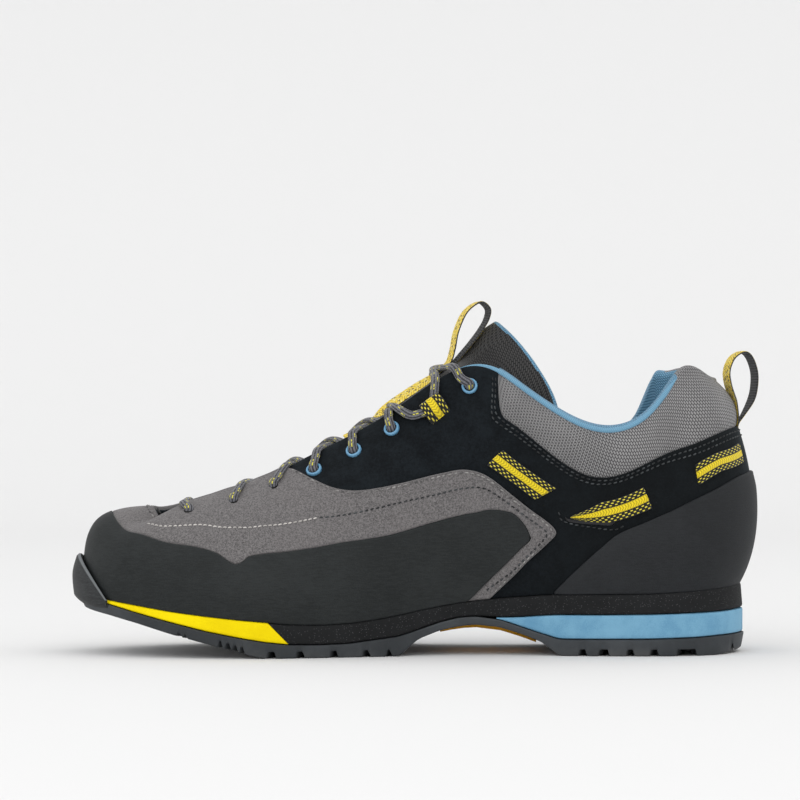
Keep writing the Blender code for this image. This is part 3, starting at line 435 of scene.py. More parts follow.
# An overlay on the wall between two rows of places: its top falls off to its borders as a quarter circle.
# Its UV is the run along it and the distance from its nearest border, both in metres.
def overlay(name, low, high, material, top, radius=0.0008, along=300, across=30, thin=0.0, sink=0.0002):
    low, high = evenPlaces(low, high, along)
    share = crowded(across)[:, None, None]
    place = low[None] * (1.0 - share) + high[None] * share
    at, up = place[..., 0], np.clip(place[..., 1], 0.0, 1.0)
    flat = wall(at, up)
    side, rise = runs(flat)
    edge = np.minimum(np.minimum(rise, rise[-1:] - rise), np.minimum(side, side[:, -1:] - side))
    fall = 1.0 - np.clip(edge / radius, 0.0, 1.0)
    height = top - radius * (1.0 - np.sqrt(1.0 - fall**2))
    height = height - thin * (1.0 - smooth(rise[-1:] - rise, 0.0, 0.008))
    outer, inner = onWall(at, up, height), onWall(at, up, -sink + 0.0 * height)
    return piece(name, closedSheets(outer, inner, np.stack((side, edge), -1)), [material])


# A row of places moved by a distance over the wall towards another row.
def insetRow(fixed, other, distance):
    a, b = wall(fixed[:, 0], fixed[:, 1]), wall(other[:, 0], other[:, 1])
    share = distance / np.maximum(np.linalg.norm(a - b, axis=1), 1e-5)
    return fixed + (other - fixed) * share[:, None]


# Points every step along a row of places, lifted off the wall, with the way outwards.
def wallPath(row, step, lift):
    low, _ = evenPlaces(row, row, 500)
    point = onWall(low[:, 0], low[:, 1], lift)
    run = np.r_[0.0, np.cumsum(np.linalg.norm(np.diff(point, axis=0), axis=1))]
    at = np.arange(step / 2, run[-1], step)
    place = np.stack([np.interp(at, run, low[:, k]) for k in range(2)], 1)
    return onWall(place[:, 0], place[:, 1], lift), wallOut(place[:, 0], place[:, 1])


# Rows of stitches: each is a small capsule of thread that bows up from one hole to the next.
def stitches(name, rows, length, thick, material, slant=0.12):
    centre, out, along = [], [], []
    for points, ways in rows:
        way = np.gradient(points, axis=0)
        way /= np.linalg.norm(way, axis=1, keepdims=True)
        centre.append(points)
        out.append(ways)
        along.append(way)
    centre, out, along = (np.vstack(part)[:, None, None] for part in (centre, out, along))
    side = np.cross(out, along)
    side /= np.linalg.norm(side, axis=-1, keepdims=True)
    along = along + slant * side
    share = np.array((-1.0, -0.93, -0.55, 0.0, 0.55, 0.93, 1.0))[None, :, None, None]
    swell = np.array((0.0, 0.55, 0.95, 1.0, 0.95, 0.55, 0.0))[None, :, None, None] * thick / 2
    turn = np.linspace(0.0, 2 * math.pi, 7)[None, None, :, None]
    bow = thick * (0.20 - 0.75 * share**4)
    points = centre + along * share * length / 2 + out * bow
    points = points + (side * np.cos(turn) + out * np.sin(turn)) * swell
    count = len(points)
    faces = gridFaces(7, 7)[None] + (np.arange(count) * 49)[:, None, None]
    uv = np.zeros((count, 7, 7, 2))
    uv[..., 0] = share[..., 0] * length
    faces = faces.reshape(-1, 4)
    return pieceFrom(name, points, faces, uv, np.zeros(len(faces)), [material], 80.0, 1e-6)


# Wraps a socket so that arithmetic on it adds Math nodes.
class Value:
    def __init__(self, look, socket):
        self.look, self.socket = look, socket

    def calc(self, operation, *others, flip=False):
        terms = (self, *others)
        terms = terms[::-1] if flip else terms
        return self.look.node("ShaderNodeMath", {"operation": operation}, dict(enumerate(terms)))

    def __add__(self, other):
        return self.calc("ADD", other)

    def __radd__(self, other):
        return self.calc("ADD", other)

    def __sub__(self, other):
        return self.calc("SUBTRACT", other)

    def __rsub__(self, other):
        return self.calc("SUBTRACT", other, flip=True)

    def __mul__(self, other):
        return self.calc("MULTIPLY", other)

    def __rmul__(self, other):
        return self.calc("MULTIPLY", other)

    def __truediv__(self, other):
        return self.calc("DIVIDE", other)

    def __rtruediv__(self, other):
        return self.calc("DIVIDE", other, flip=True)

    def __pow__(self, other):
        return self.calc("POWER", other)

    def part(self):
        # What is left over a whole number.
        return self.calc("FRACT")

    def size(self):
        # The number without its sign.
        return self.calc("ABSOLUTE")

    def most(self, other):
        return self.calc("MAXIMUM", other)

    def between(self, start, end):
        # 0 up to start, 1 from end, eased in between.
        return self.look.node("ShaderNodeMapRange", {"interpolation_type": "SMOOTHSTEP"}, {
            "Value": self, "From Min": start, "From Max": end, "To Min": 0.0, "To Max": 1.0})


# One material: a Principled shader and the nodes that feed it.
class Look:
    def __init__(self, name, colour, roughness, **fixed):
        self.material = bpy.data.materials.new(name)
        self.material.use_nodes = True
        self.tree = self.material.node_tree
        self.shader = self.tree.nodes["Principled BSDF"]
        self.shader.inputs["Base Color"].default_value = (*colour, 1.0)
        self.shader.inputs["Roughness"].default_value = roughness
        for key, value in fixed.items():
            self.shader.inputs[key.replace("_", " ")].default_value = value
        self.bumps = None

    def node(self, kind, settings=None, inputs=None, output=0):
        made = self.tree.nodes.new(kind)
        for key, value in (settings or {}).items():
            setattr(made, key, value)
        for key, value in (inputs or {}).items():
            socket = made.inputs[key]
            if isinstance(value, Value):
                self.tree.links.new(value.socket, socket)
            else:
                socket.default_value = value
        return Value(self, made.outputs[output])

    def where(self, name="Object"):
        return self.node("ShaderNodeTexCoord", output=name)

    def parts(self, name="UV"):
        split = self.node("ShaderNodeSeparateXYZ", inputs={0: self.where(name)})
        return [Value(self, split.socket.node.outputs[k]) for k in range(3)]

    def stretched(self, scale, turn=(0.0, 0.0, 0.0)):
        return self.node("ShaderNodeMapping", {}, {"Vector": self.where(), "Scale": scale, "Rotation": turn})

    def noise(self, scale, detail=3.0, rough=0.5, where=None):
        return self.node("ShaderNodeTexNoise", {}, {
            "Vector": where or self.where(), "Scale": scale, "Detail": detail, "Roughness": rough})

    def cells(self, scale, where=None):
        return self.node("ShaderNodeTexVoronoi", {"feature": "F1"}, {
            "Vector": where or self.where(), "Scale": scale}, "Distance")

    def mix(self, share, first, second):
        # The second colour where share is 1.
        tone = lambda c: c if isinstance(c, Value) else (*c, 1.0)
        inputs = {0: share, 6: tone(first), 7: tone(second)}
        return self.node("ShaderNodeMix", {"data_type": "RGBA"}, inputs, 2)

    def colour(self, value):
        self.tree.links.new(value.socket, self.shader.inputs["Base Color"])

    def rough(self, value):
        self.tree.links.new(value.socket, self.shader.inputs["Roughness"])

    def bump(self, height, distance, strength=1.0):
        # Each bump lies on the one before it.
        inputs = {"Height": height, "Distance": distance, "Strength": strength}
        if self.bumps:
            inputs["Normal"] = self.bumps
        self.bumps = self.node("ShaderNodeBump", {}, inputs)
        self.tree.links.new(self.bumps.socket, self.shader.inputs["Normal"])
        return self


# Rows of short dashes, each row moved half a step from the next: 1 along a dash's middle, 0 between.
def dashes(look, u, v, step, rowStep, lean):
    p = u * math.cos(lean) + v * math.sin(lean)
    q = v * math.cos(lean) - u * math.sin(lean)
    row = q / rowStep
    part = row.part()
    cell = (p / step + (row - part) * 0.5).part() - 0.5
    across = part - 0.5
    return (1.0 - (cell * 2.0).size() ** 3.0) * (1.0 - (across * 2.0).size() ** 2.0)


# Nubuck: two blacks mixed by nap, cloud and fine grain, deeper towards the heel.
def nubuckLook():
    look = Look("nubuck", (0.008, 0.010, 0.012), 0.85, Sheen_Weight=0.06, Sheen_Roughness=0.5,
                Sheen_Tint=(0.55, 0.70, 0.80, 1.0), Specular_IOR_Level=0.16)
    nap, cloud, grain = look.noise(140.0, 4.0, 0.6), look.noise(28.0, 3.0, 0.6), look.noise(1500.0, 2.0, 0.6)
    fine = look.noise(800.0, 3.0, 0.7)
    x = look.parts("Object")[0]
    share = (nap * 0.35 + cloud * 0.30 + fine * 0.35).between(0.38, 0.62)
    base = look.mix(share, (0.0015, 0.0027, 0.0040), (0.0072, 0.0105, 0.0135))
    look.colour(look.mix(x.between(0.020, 0.075) * 0.6, base, (0.0016, 0.0024, 0.0028)))
    look.rough(0.72 + grain * 0.25)
    look.bump(nap, 0.0005, 0.18)
    return look.bump(grain, 0.00022, 0.55)


# Suede: grain and fibre between two greys, warm clouds, then a dark and a pale line along its edge.
def suedeLook():
    look = Look("suede", (0.2, 0.18, 0.18), 0.95, Sheen_Weight=0.10, Sheen_Roughness=0.6,
                Specular_IOR_Level=0.12)
    grain, fibre = look.noise(2100.0, 3.0, 0.8), look.noise(1200.0, 3.0, 0.6)
    cloud = look.noise(38.0, 3.0, 0.6)
    edge = look.parts()[1]
    tone = (grain * 0.62 + fibre * 0.38).between(0.36, 0.64)
    base = look.mix(tone, (0.070, 0.066, 0.067), (0.212, 0.201, 0.201))
    base = look.mix(cloud.between(0.40, 0.72) * 0.18, base, (0.175, 0.160, 0.160))
    base = look.mix((1.0 - edge.between(0.0004, 0.0012)) * 0.35, base, (0.085, 0.080, 0.080))
    look.colour(look.mix((1.0 - edge.between(0.0001, 0.0004)) * 0.5, base, (0.215, 0.210, 0.210)))
    look.rough(0.88 + grain * 0.1)
    look.bump(fibre, 0.0004, 0.30)
    return look.bump(grain, 0.00022, 0.7)


# Rubber sheet: brushed streaks, cloud and grain between two greys, and a painted highlight along its edge.
def randLook(name, dark, light, drift, edgeHighlight=0.30, highlightGain=1.5):
    look = Look(name, light, 0.62, Specular_IOR_Level=0.28)
    brushed = look.noise(1.0, 4.0, 0.6, where=look.stretched((260.0, 260.0, 1500.0), drift))
    cloud, grain = look.noise(22.0, 4.0, 0.62), look.noise(2300.0, 2.0, 0.5)
    edge = look.parts()[1]
    base = look.mix((cloud * 0.40 + brushed * 0.35 + grain * 0.25).between(0.38, 0.62), dark, light)
    # Painted highlight: a paler band along the edge, as if the rounded edge caught the light.
    rim = (1.0 - edge.between(0.0002, 0.0007)) * edgeHighlight
    look.colour(look.mix(rim, base, tuple(highlightGain * c for c in light)))
    look.rough(0.52 + brushed * 0.16 + cloud * 0.1)
    look.bump(brushed, 0.00020, 0.30)
    return look.bump(grain, 0.00012, 0.35)


# Outsole rubber: two clouded greys with pale dust on its lowest part.
def outsoleLook():
    look = Look("outsoleRubber", (0.045, 0.048, 0.050), 0.68, Specular_IOR_Level=0.35)
    cloud, grain = look.noise(30.0, 4.0, 0.6), look.noise(1700.0, 3.0, 0.55)
    z = look.parts("Object")[2]
    dust = (1.0 - z.between(0.0, 0.0045)) * cloud.between(0.42, 0.62) * 0.35
    base = look.mix(cloud.between(0.35, 0.68), (0.030, 0.034, 0.038), (0.056, 0.062, 0.068))
    look.colour(look.mix(dust, base, (0.115, 0.110, 0.104)))
    look.rough(0.60 + grain * 0.16)
    return look.bump(grain, 0.00018, 0.45)


# Foam: cloud and grain between two tones, with small specks.
def foamLook(name, dark, light, speck, amount, roughness=0.75, shine=0.25):
    look = Look(name, light, roughness, Specular_IOR_Level=shine)
    cloud, grain = look.noise(70.0, 4.0, 0.6), look.noise(2600.0, 2.0, 0.6)
    dots = look.cells(1150.0)
    base = look.mix((cloud * 0.7 + grain * 0.3).between(0.36, 0.64), dark, light)
    look.colour(look.mix((1.0 - dots.between(0.08, 0.24)) * amount, base, speck))
    look.rough(roughness - 0.05 + grain * 0.15)
    look.bump(cloud, 0.0003, 0.2)
    return look.bump(grain, 0.00015, 0.5)


# Mesh and lining: rows of dashes are the threads, on a darker ground.
def weaveLook(name, dark, light, step, rowStep, lean, sheen=0.25, depth=0.00035, where="UV"):
    look = Look(name, light, 0.85, Sheen_Weight=sheen, Sheen_Roughness=0.4, Specular_IOR_Level=0.25)
    u, v, _ = look.parts(where)
    wobble = look.noise(160.0, 2.0, 0.5) * 0.00035
    thread = dashes(look, u + wobble, v + wobble, step, rowStep, lean)
    tint = look.noise(45.0, 3.0, 0.6)
    base = look.mix(thread.between(0.12, 0.72), dark, light)
    look.colour(look.mix(tint.between(0.35, 0.7) * 0.22, base, dark))
    look.rough(0.92 - thread * 0.22)
    return look.bump(thread, depth, 0.8)


# Woven strap: a herringbone stripe down the middle and rows of dashes on a black ground beside it.
def webbingLook(name, stripe, ground, fleck, middle=0.34):
    look = Look(name, ground, 0.80, Sheen_Weight=0.2, Specular_IOR_Level=0.3)
    u, v, _ = look.parts()
    away = v.size()
    bone = ((u / 0.0012 + away * 2.2).part() - 0.5).size() * 2.0
    dots = None
    for place, start, size in ((0.50, 0.0, 0.056), (0.69, 0.5, 0.060), (0.89, 0.0, 0.056)):
        along = ((u / 0.0025 + start + v * 0.55).part() - 0.5).size()
        row = (1.0 - ((away - place) / size).size().between(0.5, 1.15)) * (1.0 - along.between(0.13, 0.27))
        dots = row if dots is None else dots.most(row)
    ragged = away + bone * 0.07
    centre = 1.0 - ragged.between(middle - 0.02, middle + 0.04)
    yarn = ((u / 0.0009).part() - 0.5).size() * 2.0
    warm = look.mix(bone.between(0.10, 0.65), tuple(0.50 * c for c in stripe), stripe)
    side = look.mix(dots, ground, fleck)
    look.colour(look.mix(centre, side, warm))
    look.rough(0.85 - dots * 0.15)
    return look.bump(bone * centre + dots * 0.8 + yarn * 0.25, 0.00030, 0.7)


# Woven strap seen from its yellow side: dark flecks lie scattered along it, with pale patches of painted
# highlight.
def fleckedLook():
    look = Look("fleckedWebbing", (0.80, 0.58, 0.03), 0.8, Sheen_Weight=0.15, Specular_IOR_Level=0.3)
    u, v, _ = look.parts()
    weave = ((u / 0.0012 + v.size() * 1.5).part() - 0.5).size() * 2.0
    flecks = look.cells(1.0, look.stretched((620.0, 300.0, 620.0), (0.0, 0.5, 0.0)))
    pale = look.noise(1.0, 2.0, 0.5, look.stretched((900.0, 500.0, 900.0)))
    base = look.mix(weave.between(0.05, 0.6), (0.46, 0.29, 0.012), (0.86, 0.64, 0.030))
    # Painted highlight: pale patches scattered along the yellow yarn.
    base = look.mix(pale.between(0.54, 0.66) * 0.7, base, (0.90, 0.82, 0.38))
    look.colour(look.mix((1.0 - flecks.between(0.20, 0.42)) * 0.85, base, (0.035, 0.025, 0.008)))
    return look.bump(weave + flecks, 0.00035, 0.7)


# Ribbed plain strap: fine ridges across its length.
def ribLook(name, dark, light, roughness=0.82):
    look = Look(name, light, roughness, Sheen_Weight=0.1, Specular_IOR_Level=0.3)
    u = look.parts()[0]
    rib = ((u / 0.0012).part() - 0.5).size() * 2.0
    look.colour(look.mix(rib.between(0.1, 0.8), dark, light))
    return look.bump(rib, 0.0003, 0.7)


# Braided cord: plaited ridges that cross, dark carriers along it, and flecks of a second yarn.
def cordLook():
    look = Look("laceCord", (0.13, 0.13, 0.14), 0.75, Sheen_Weight=0.25, Specular_IOR_Level=0.3)
    u, v, _ = look.parts()
    one, two = u / 0.0019 + v * 4.0, u / 0.0019 - v * 4.0
    plait = ((one.part() - 0.5).size() * 2.0).most((two.part() - 0.5).size() * 2.0)
    stripe = ((v * 8.0).part() - 0.5).size() * 2.0
    base = look.mix(stripe.between(0.35, 0.75), (0.150, 0.150, 0.165), (0.026, 0.027, 0.032))
    base = look.mix(plait.between(0.80, 1.0) * 0.6, base, (0.022, 0.022, 0.026))
    lane = (v * 8.0 + 0.5).part()
    fleck = (u / 0.0086 + (v * 4.0 + 0.25 - (v * 4.0 + 0.25).part()) * 0.37).part()
    dash = 1.0 - (fleck - 0.5).size().between(0.10, 0.14)
    dash = dash * (1.0 - (lane - 0.5).size().between(0.10, 0.22))
    look.colour(look.mix(dash * (one.part() - 0.5).size().between(0.06, 0.16), base, (0.66, 0.60, 0.07)))
    look.rough(0.80 - dash * 0.15)
    return look.bump(plait, 0.00035, 0.7)


# Sewing thread: two tones and a fine twist.
def threadLook(name, dark, light):
    look = Look(name, light, 0.6, Specular_IOR_Level=0.35)
    u = look.parts()[0]
    twist = ((u / 0.00055).part() - 0.5).size() * 2.0
    look.colour(look.mix(look.noise(300.0).between(0.35, 0.65), dark, light))
    return look.bump(twist, 0.0001, 0.5)


# Enamelled eyelet: blue with paler, rougher patches.
def enamelLook():
    look = Look("eyeletEnamel", (0.14, 0.36, 0.60), 0.35, Coat_Weight=0.4, Coat_Roughness=0.25)
    patches = look.noise(900.0, 3.0, 0.6)
    look.colour(look.mix(patches.between(0.45, 0.75), (0.110, 0.290, 0.470), (0.185, 0.390, 0.560)))
    look.rough(0.30 + patches * 0.2)
    return look.bump(patches, 0.00006, 0.3)


looks = {
    "nubuck": nubuckLook(),
    "suede": suedeLook(),
    "rand": randLook("randRubber", (0.0065, 0.0085, 0.0088), (0.0185, 0.0215, 0.0220), (0.0, 0.6, 0.0)),
    "counter": randLook("counterRubber", (0.0070, 0.0082, 0.0098), (0.0150, 0.0168, 0.0192), (0.0, 0.0, 0.0)),
    "outsole": outsoleLook(),
    # The bumper's top edge gets a strong painted highlight.
    "bumper": randLook(
        "bumperRubber", (0.014, 0.015, 0.016), (0.040, 0.043, 0.045), (0.0, 0.0, 0.0), 0.8, 5.0),
    "midsole": foamLook(
        "blackFoam", (0.0050, 0.0056, 0.0062), (0.0085, 0.0092, 0.0102), (0.10, 0.10, 0.105), 0.75),
    "yellow": foamLook(
        "yellowFoam", (0.84, 0.640, 0.0015), (0.93, 0.735, 0.002), (0.86, 0.67, 0.004), 0.2, 0.55, 0.06),
    "blue": foamLook("blueFoam", (0.115, 0.290, 0.450), (0.180, 0.390, 0.550), (0.17, 0.38, 0.53), 0.2, 0.6),
    "arch": foamLook("archPlate", (0.80, 0.36, 0.01), (0.86, 0.42, 0.015), (0.7, 0.3, 0.01), 0.1, 0.45),
    "collar": weaveLook("collarMesh", (0.052, 0.051, 0.052), (0.310, 0.305, 0.308), 0.0021, 0.00090, 1.05),
    "lining": weaveLook("blueLining", (0.060, 0.150, 0.240), (0.170, 0.370, 0.540), 0.0016, 0.00075, 0.9),
    "tongue": weaveLook("tongueMesh", (0.006, 0.006, 0.007), (0.050, 0.049, 0.048), 0.0022, 0.00100, 0.25),
    "binding": weaveLook(
        "blueBinding", (0.110, 0.250, 0.370), (0.200, 0.400, 0.560), 0.0011, 0.0005, 0.9, 0.15, 0.00012),
    "insole": weaveLook(
        "insoleFabric", (0.030, 0.032, 0.036), (0.085, 0.090, 0.100), 0.0016, 0.0008, 0.8, where="Object"),
    "webbing": webbingLook("dashedWebbing", (0.86, 0.66, 0.015), (0.010, 0.010, 0.009), (0.80, 0.68, 0.06)),
    "loopWebbing": fleckedLook(),
    "rib": ribLook("ribbedTape", (0.014, 0.014, 0.015), (0.062, 0.062, 0.064)),
    "cord": cordLook(),
    "enamel": enamelLook(),
    "greyThread": threadLook("greyThread", (0.080, 0.078, 0.078), (0.34, 0.33, 0.32)),
    "darkThread": threadLook("darkThread", (0.012, 0.013, 0.014), (0.060, 0.067, 0.071)),
    "paleThread": threadLook("paleThread", (0.42, 0.40, 0.38), (0.66, 0.63, 0.60)),
    "lip": ribLook("slotLip", (0.004, 0.004, 0.005), (0.012, 0.012, 0.014), 0.35),
    # Near-black discs of painted shade that stand for the insides of the holes.
    "hole": weaveLook("holeShade", (0.002, 0.002, 0.002), (0.006, 0.006, 0.006), 0.0010, 0.0005, 0.4, 0.0),
}
use = {name: look.material for name, look in looks.items()}
print("materials ready")

# The two solids that stay as they are: the insole and the plate under the arch
for name, slot in (("insole", "insole_fabric"), ("arch_plate", "orange_plate")):
    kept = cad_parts[name]
    kept.data.materials.clear()
    kept.data.materials.append(use["arch" if name == "arch_plate" else name])

# Camera level with the shoe at its medial side, floor and soft light
studio = {
    "camera": (-0.00685, -1.5, 0.1071), "lens": 157.7, "sensor": 36.0,
    "floor": 0.80, "half": 3.0, "backdrop": 1.3, "cove": 0.6, "sky": 1.10,
    # Each light's place, target, size and power
    "overhead": ((0.0, -0.1, 1.6), (0.0, 0.0, 0.0), (2.4, 2.0), 2.2),
    "front": ((-0.5, -1.9, 1.0), (0.0, 0.0, 0.06), (2.0, 1.6), 6.0),
}
cameraData = bpy.data.cameras.new("camera")
cameraData.lens, cameraData.sensor_width = studio["lens"], studio["sensor"]
cameraData.sensor_fit = "HORIZONTAL"
camera = bpy.data.objects.new("camera", cameraData)
camera.location, camera.rotation_euler = studio["camera"], (math.pi / 2, 0.0, 0.0)
bpy.context.scene.collection.objects.link(camera)
bpy.context.scene.camera = camera
bpy.context.scene.view_settings.view_transform = "Standard"


# Floor and backdrop in one: flat, then a quarter circle up to a wall.
def buildFloor():
    back, radius, half = studio["backdrop"], studio["cove"], studio["half"]
    bend = np.linspace(0.0, math.pi / 2, 24)
    y = np.r_[-half, back + radius * np.sin(bend), back + radius]
    z = np.r_[0.0, radius * (1.0 - np.cos(bend)), half]
    x = np.linspace(-half, half, 5)
    grid = np.stack(np.broadcast_arrays(x[None, :], y[:, None], z[:, None]), -1)
    look = Look("paleFloor", (studio["floor"],) * 3, 0.9, Specular_IOR_Level=0.1)
    mesh = bpy.data.meshes.new("floor")
    mesh.from_pydata(grid.reshape(-1, 3).tolist(), [], gridFaces(*grid.shape[:2])[:, ::-1].tolist())
    mesh.materials.append(look.material)
    mesh.shade_smooth()
    floor = bpy.data.objects.new("floor", mesh)
    bpy.context.scene.collection.objects.link(floor)


# A soft rectangular light that faces its target.
def softLight(name, place, target, size, power):
    data = bpy.data.lights.new(name, "AREA")
    data.shape, data.size, data.size_y, data.energy = "RECTANGLE", size[0], size[1], power
    light = bpy.data.objects.new(name, data)
    way = np.subtract(target, place)
    yaw = math.atan2(way[1], way[0]) - math.pi / 2
    pitch = math.atan2(way[2], math.hypot(way[0], way[1]))
    light.location, light.rotation_euler = place, (pitch + math.pi / 2, 0.0, yaw)
    bpy.context.scene.collection.objects.link(light)


buildFloor()
for name in ("overhead", "front"):
    softLight(name, *studio[name])
world = bpy.data.worlds.new("studio")
world.use_nodes = True
world.node_tree.nodes["Background"].inputs["Color"].default_value = (1.0, 1.0, 1.0, 1.0)
world.node_tree.nodes["Background"].inputs["Strength"].default_value = studio["sky"]
bpy.context.scene.world = world
print("camera, floor and light ready")

# Sole
sole = {
    "columns": 600, "midInset": 0.0008, "flare": 0.0006, "round": 0.0009, "groove": 0.0028,
    # Slots across: (share, width) at the edges, where they show, then those between the channels
    "edgeSlots": ((0.0445, 0.0015), (0.1144, 0.0084), (0.161, 0.0034), (0.195, 0.0030), (0.233, 0.0042),
                  (0.263, 0.0030), (0.5405, 0.0020), (0.573, 0.0030), (0.6184, 0.0030), (0.6665, 0.0032),
                  (0.7069, 0.0034), (0.748, 0.0016), (0.758, 0.0016), (0.768, 0.0020), (0.779, 0.0014),
                  (0.829, 0.0010), (0.838, 0.0016)),
    "innerSlots": ((0.1144, 0.0060), (0.165, 0.0034), (0.225, 0.0034), (0.565, 0.0034), (0.605, 0.0034),
                   (0.645, 0.0034), (0.685, 0.0034), (0.725, 0.0034)),
    "edgeDepth": 0.009, "channel": 0.0050, "channelPlaces": (-0.155, 0.155, 0.0),
    "sipe": 0.0042, "sipeDepth": 0.28,
    "wedgeEnd": 0.385, "toeWedge": (0.680, 0.710), "wedgeGap": 0.001,
    # The toe bumper: thickness, reach round the ring, height over the midsole and swell from foot to top
    "bumper": 0.0034, "reach": 1.32, "bumperTop": 0.165, "swells": (0.20, 0.55, 0.85, 1.0, 1.0, 0.45),
}


# The place on the ring where the sole's edge lies at a share of the length.
def solePlace(share):
    ats = np.linspace(0.0, toe, 800)
    return float(np.interp(share, 0.5 - ringAt("soleX", ats) / shoe["length"], ats))


# Half width of the sole on the side of y, at world x.
def halfWidth(x, y):
    ats = np.linspace(0.0, toe, 400)
    medial, lateral = (outline(stations, 0.0 * ats)[0] for stations in (ats, around - ats))
    medialWidth = np.interp(-x, -medial[:, 0], -medial[:, 1])
    lateralWidth = np.interp(-x, -lateral[:, 0], lateral[:, 1])
    return np.where(y < 0.0, medialWidth, lateralWidth)


# Depth of the tread's cuts at a point in plan: short slots in from the edges, slots between them, channels.
def treadCut(x, y):
    share, soft = 0.5 - x / shoe["length"], 0.00040
    fromEdge = halfWidth(x, y) - np.abs(y)
    border = 1.0 - smooth(fromEdge, sole["edgeDepth"] - soft, sole["edgeDepth"] + soft)
    cut = np.zeros_like(x)
    lateral = 0.006 * smooth(y, -0.004, 0.004)
    for slots, inside, lean in ((sole["edgeSlots"], border, 0.35), (sole["innerSlots"], 1.0 - border, 0.0)):
        for centre, width in slots:
            away = np.abs((share - centre - lateral) * shoe["length"] + lean * np.clip(fromEdge, 0.0, 0.012))
            deep = 0.55 if centre > 0.8 else 1.0
            cut = np.maximum(cut, (1.0 - smooth(away, width / 2 - soft, width / 2 + soft)) * inside * deep)
    fore = smooth(share, 0.520, 0.530) * (1.0 - smooth(share, 0.745, 0.755))
    heel = smooth(share, 0.075, 0.085) * (1.0 - smooth(share, 0.268, 0.276))
    half = sole["channel"] / 2
    for middle, inside in zip(sole["channelPlaces"], (fore, fore, heel)):
        sway = 0.0016 * np.sin(share * 2 * math.pi / 0.05)
        away = np.abs(y - middle * shoe["ballWidth"] - sway)
        cut = np.maximum(cut, (1.0 - smooth(away, half - soft, half + soft)) * inside)
    sipe = np.abs(((share * shoe["length"] / sole["sipe"] + 0.25) % 1.0) - 0.5) * sole["sipe"]
    fine = (1.0 - smooth(sipe, 0.0004, 0.0008)) * sole["sipeDepth"] * np.maximum(fore, heel) * (1.0 - border)
    return np.maximum(cut, fine) * sole["groove"]


# One layer of the sole. From station to station along the shoe its section goes up the medial side,
# across the top, down the lateral side and back underneath; corners are rounded by a quarter circle.
def soleLayer(name, lowEnds, highEnds, lowLine, highLine, insets, material, columns=420, cut=None,
              rows=(12, 16, 30), radius=None):
    radius = sole["round"] if radius is None else radius
    share = crowded(columns, 0.35)[:, None]
    upShare = crowded(rows[0], 0.8)[None, :]
    low = lowEnds[0] + (lowEnds[1] - lowEnds[0]) * share
    high = highEnds[0] + (highEnds[1] - highEnds[0]) * share
    at = low + (high - low) * upShare
    sides = []
    for stations in (at, around - at):
        inset = insets[0] + (insets[1] - insets[0]) * upShare + 0.0 * at
        plan, _ = outline(stations, inset)
        tall = highLine(plan[..., 0]) - lowLine(plan[..., 0])
        near = np.minimum(upShare, 1.0 - upShare) * tall
        r = np.minimum(radius, tall * 0.45)
        inset = inset + r * (1.0 - np.sqrt(1.0 - (1.0 - np.clip(near / np.maximum(r, 1e-6), 0, 1)) ** 2))
        plan, _ = outline(stations, inset)
        x, y = plan[..., 0], plan[..., 1]
        bottom, top = lowLine(x), highLine(x)
        if cut is not None:
            bottom = bottom + cut(x, y)
        sides.append(np.stack((x, y, bottom + (top - bottom) * upShare), -1))
    medial, lateral = sides
    across = np.linspace(0.0, 1.0, rows[1])[None, 1:-1, None]
    over = medial[:, -1:] * (1.0 - across) + lateral[:, -1:] * across
    over[..., 2] = highLine(over[..., 0])
    across = np.linspace(0.0, 1.0, rows[2])[None, 1:-1, None]
    under = lateral[:, :1] * (1.0 - across) + medial[:, :1] * across
    under[..., 2] = lowLine(under[..., 0])
    if cut is not None:
        under[..., 2] += cut(under[..., 0], under[..., 1])
    grid = np.concatenate((medial, over, lateral[:, ::-1], under, medial[:, :1]), 1)
    first, last = grid[:1].mean(1, keepdims=True), grid[-1:].mean(1, keepdims=True)
    grid = np.concatenate((first + 0 * grid[:1], grid, last + 0 * grid[-1:]), 0)
    u, v = runs(grid)
    return piece(name, [(grid, np.stack((u, v), -1), 0)], [material], 42.0)


# The toe bumper: six rows from under the tread up over the rand, with a wall that swells outwards
# and thins with the square of the way round from the toe.
def bumperPiece():
    reach, clear = sole["reach"], shoe["featherInset"] + 2 * shoe["gap"]
    ats = np.linspace(toe - reach, toe + reach, 161)
    lean = np.abs(ats - toe) / reach
    thick = sole["bumper"] * (1.0 - 0.75 * lean**2)
    plan, out = outline(ats)
    tread, feather = soleHeight("tread", plan[:, 0]), soleHeight("top", plan[:, 0])
    top = feather + shoe["upperHeight"] * np.maximum(sole["bumperTop"] * (1.0 - lean**1.7), 0.006)
    flat = lambda z, off: (np.concatenate((plan, z[:, None]), 1), np.pad(out, ((0, 0), (0, 1))), off)
    rows = [
        flat(tread - shoe["heelStack"] * 0.14, -0.0022), flat(tread - shoe["heelStack"] * 0.02, 0.0006),
        flat(tread + (feather - tread) * 0.5, 0.0006), flat(feather, 0.0006),
    ]
    steps = np.linspace(0.0, 1.0, 60)
    heights = wall(ats[:, None], steps[None, :])[..., 2]
    for z in (feather + (top - feather) * 0.55, top):
        up = np.array([np.interp(a, row, steps) for a, row in zip(z, heights)])
        rows.append((wall(ats, up), wallOut(ats, up), clear))
    outer = np.stack([
        base + way * (off + thick * s)[:, None] for (base, way, off), s in zip(rows, sole["swells"])])
    inner = np.stack([base + way * off for base, way, off in rows])
    smoothed = lambda grid: np.stack([evenSpline(grid[:, j], 26) for j in range(len(ats))], 1)
    outer, inner = smoothed(outer), smoothed(inner)
    side, rise = runs(outer)
    edge = rise[-1:] - rise
    fall = 1.0 - np.clip(edge / 0.0009, 0.0, 1.0)
    outer = outer - (outer - inner) * (0.5 * (1.0 - np.sqrt(1.0 - fall**2)))[..., None]
    made = piece("toeBumper", closedSheets(outer, inner, np.stack((side, edge), -1)), [use["bumper"]])
    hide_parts("outsole")


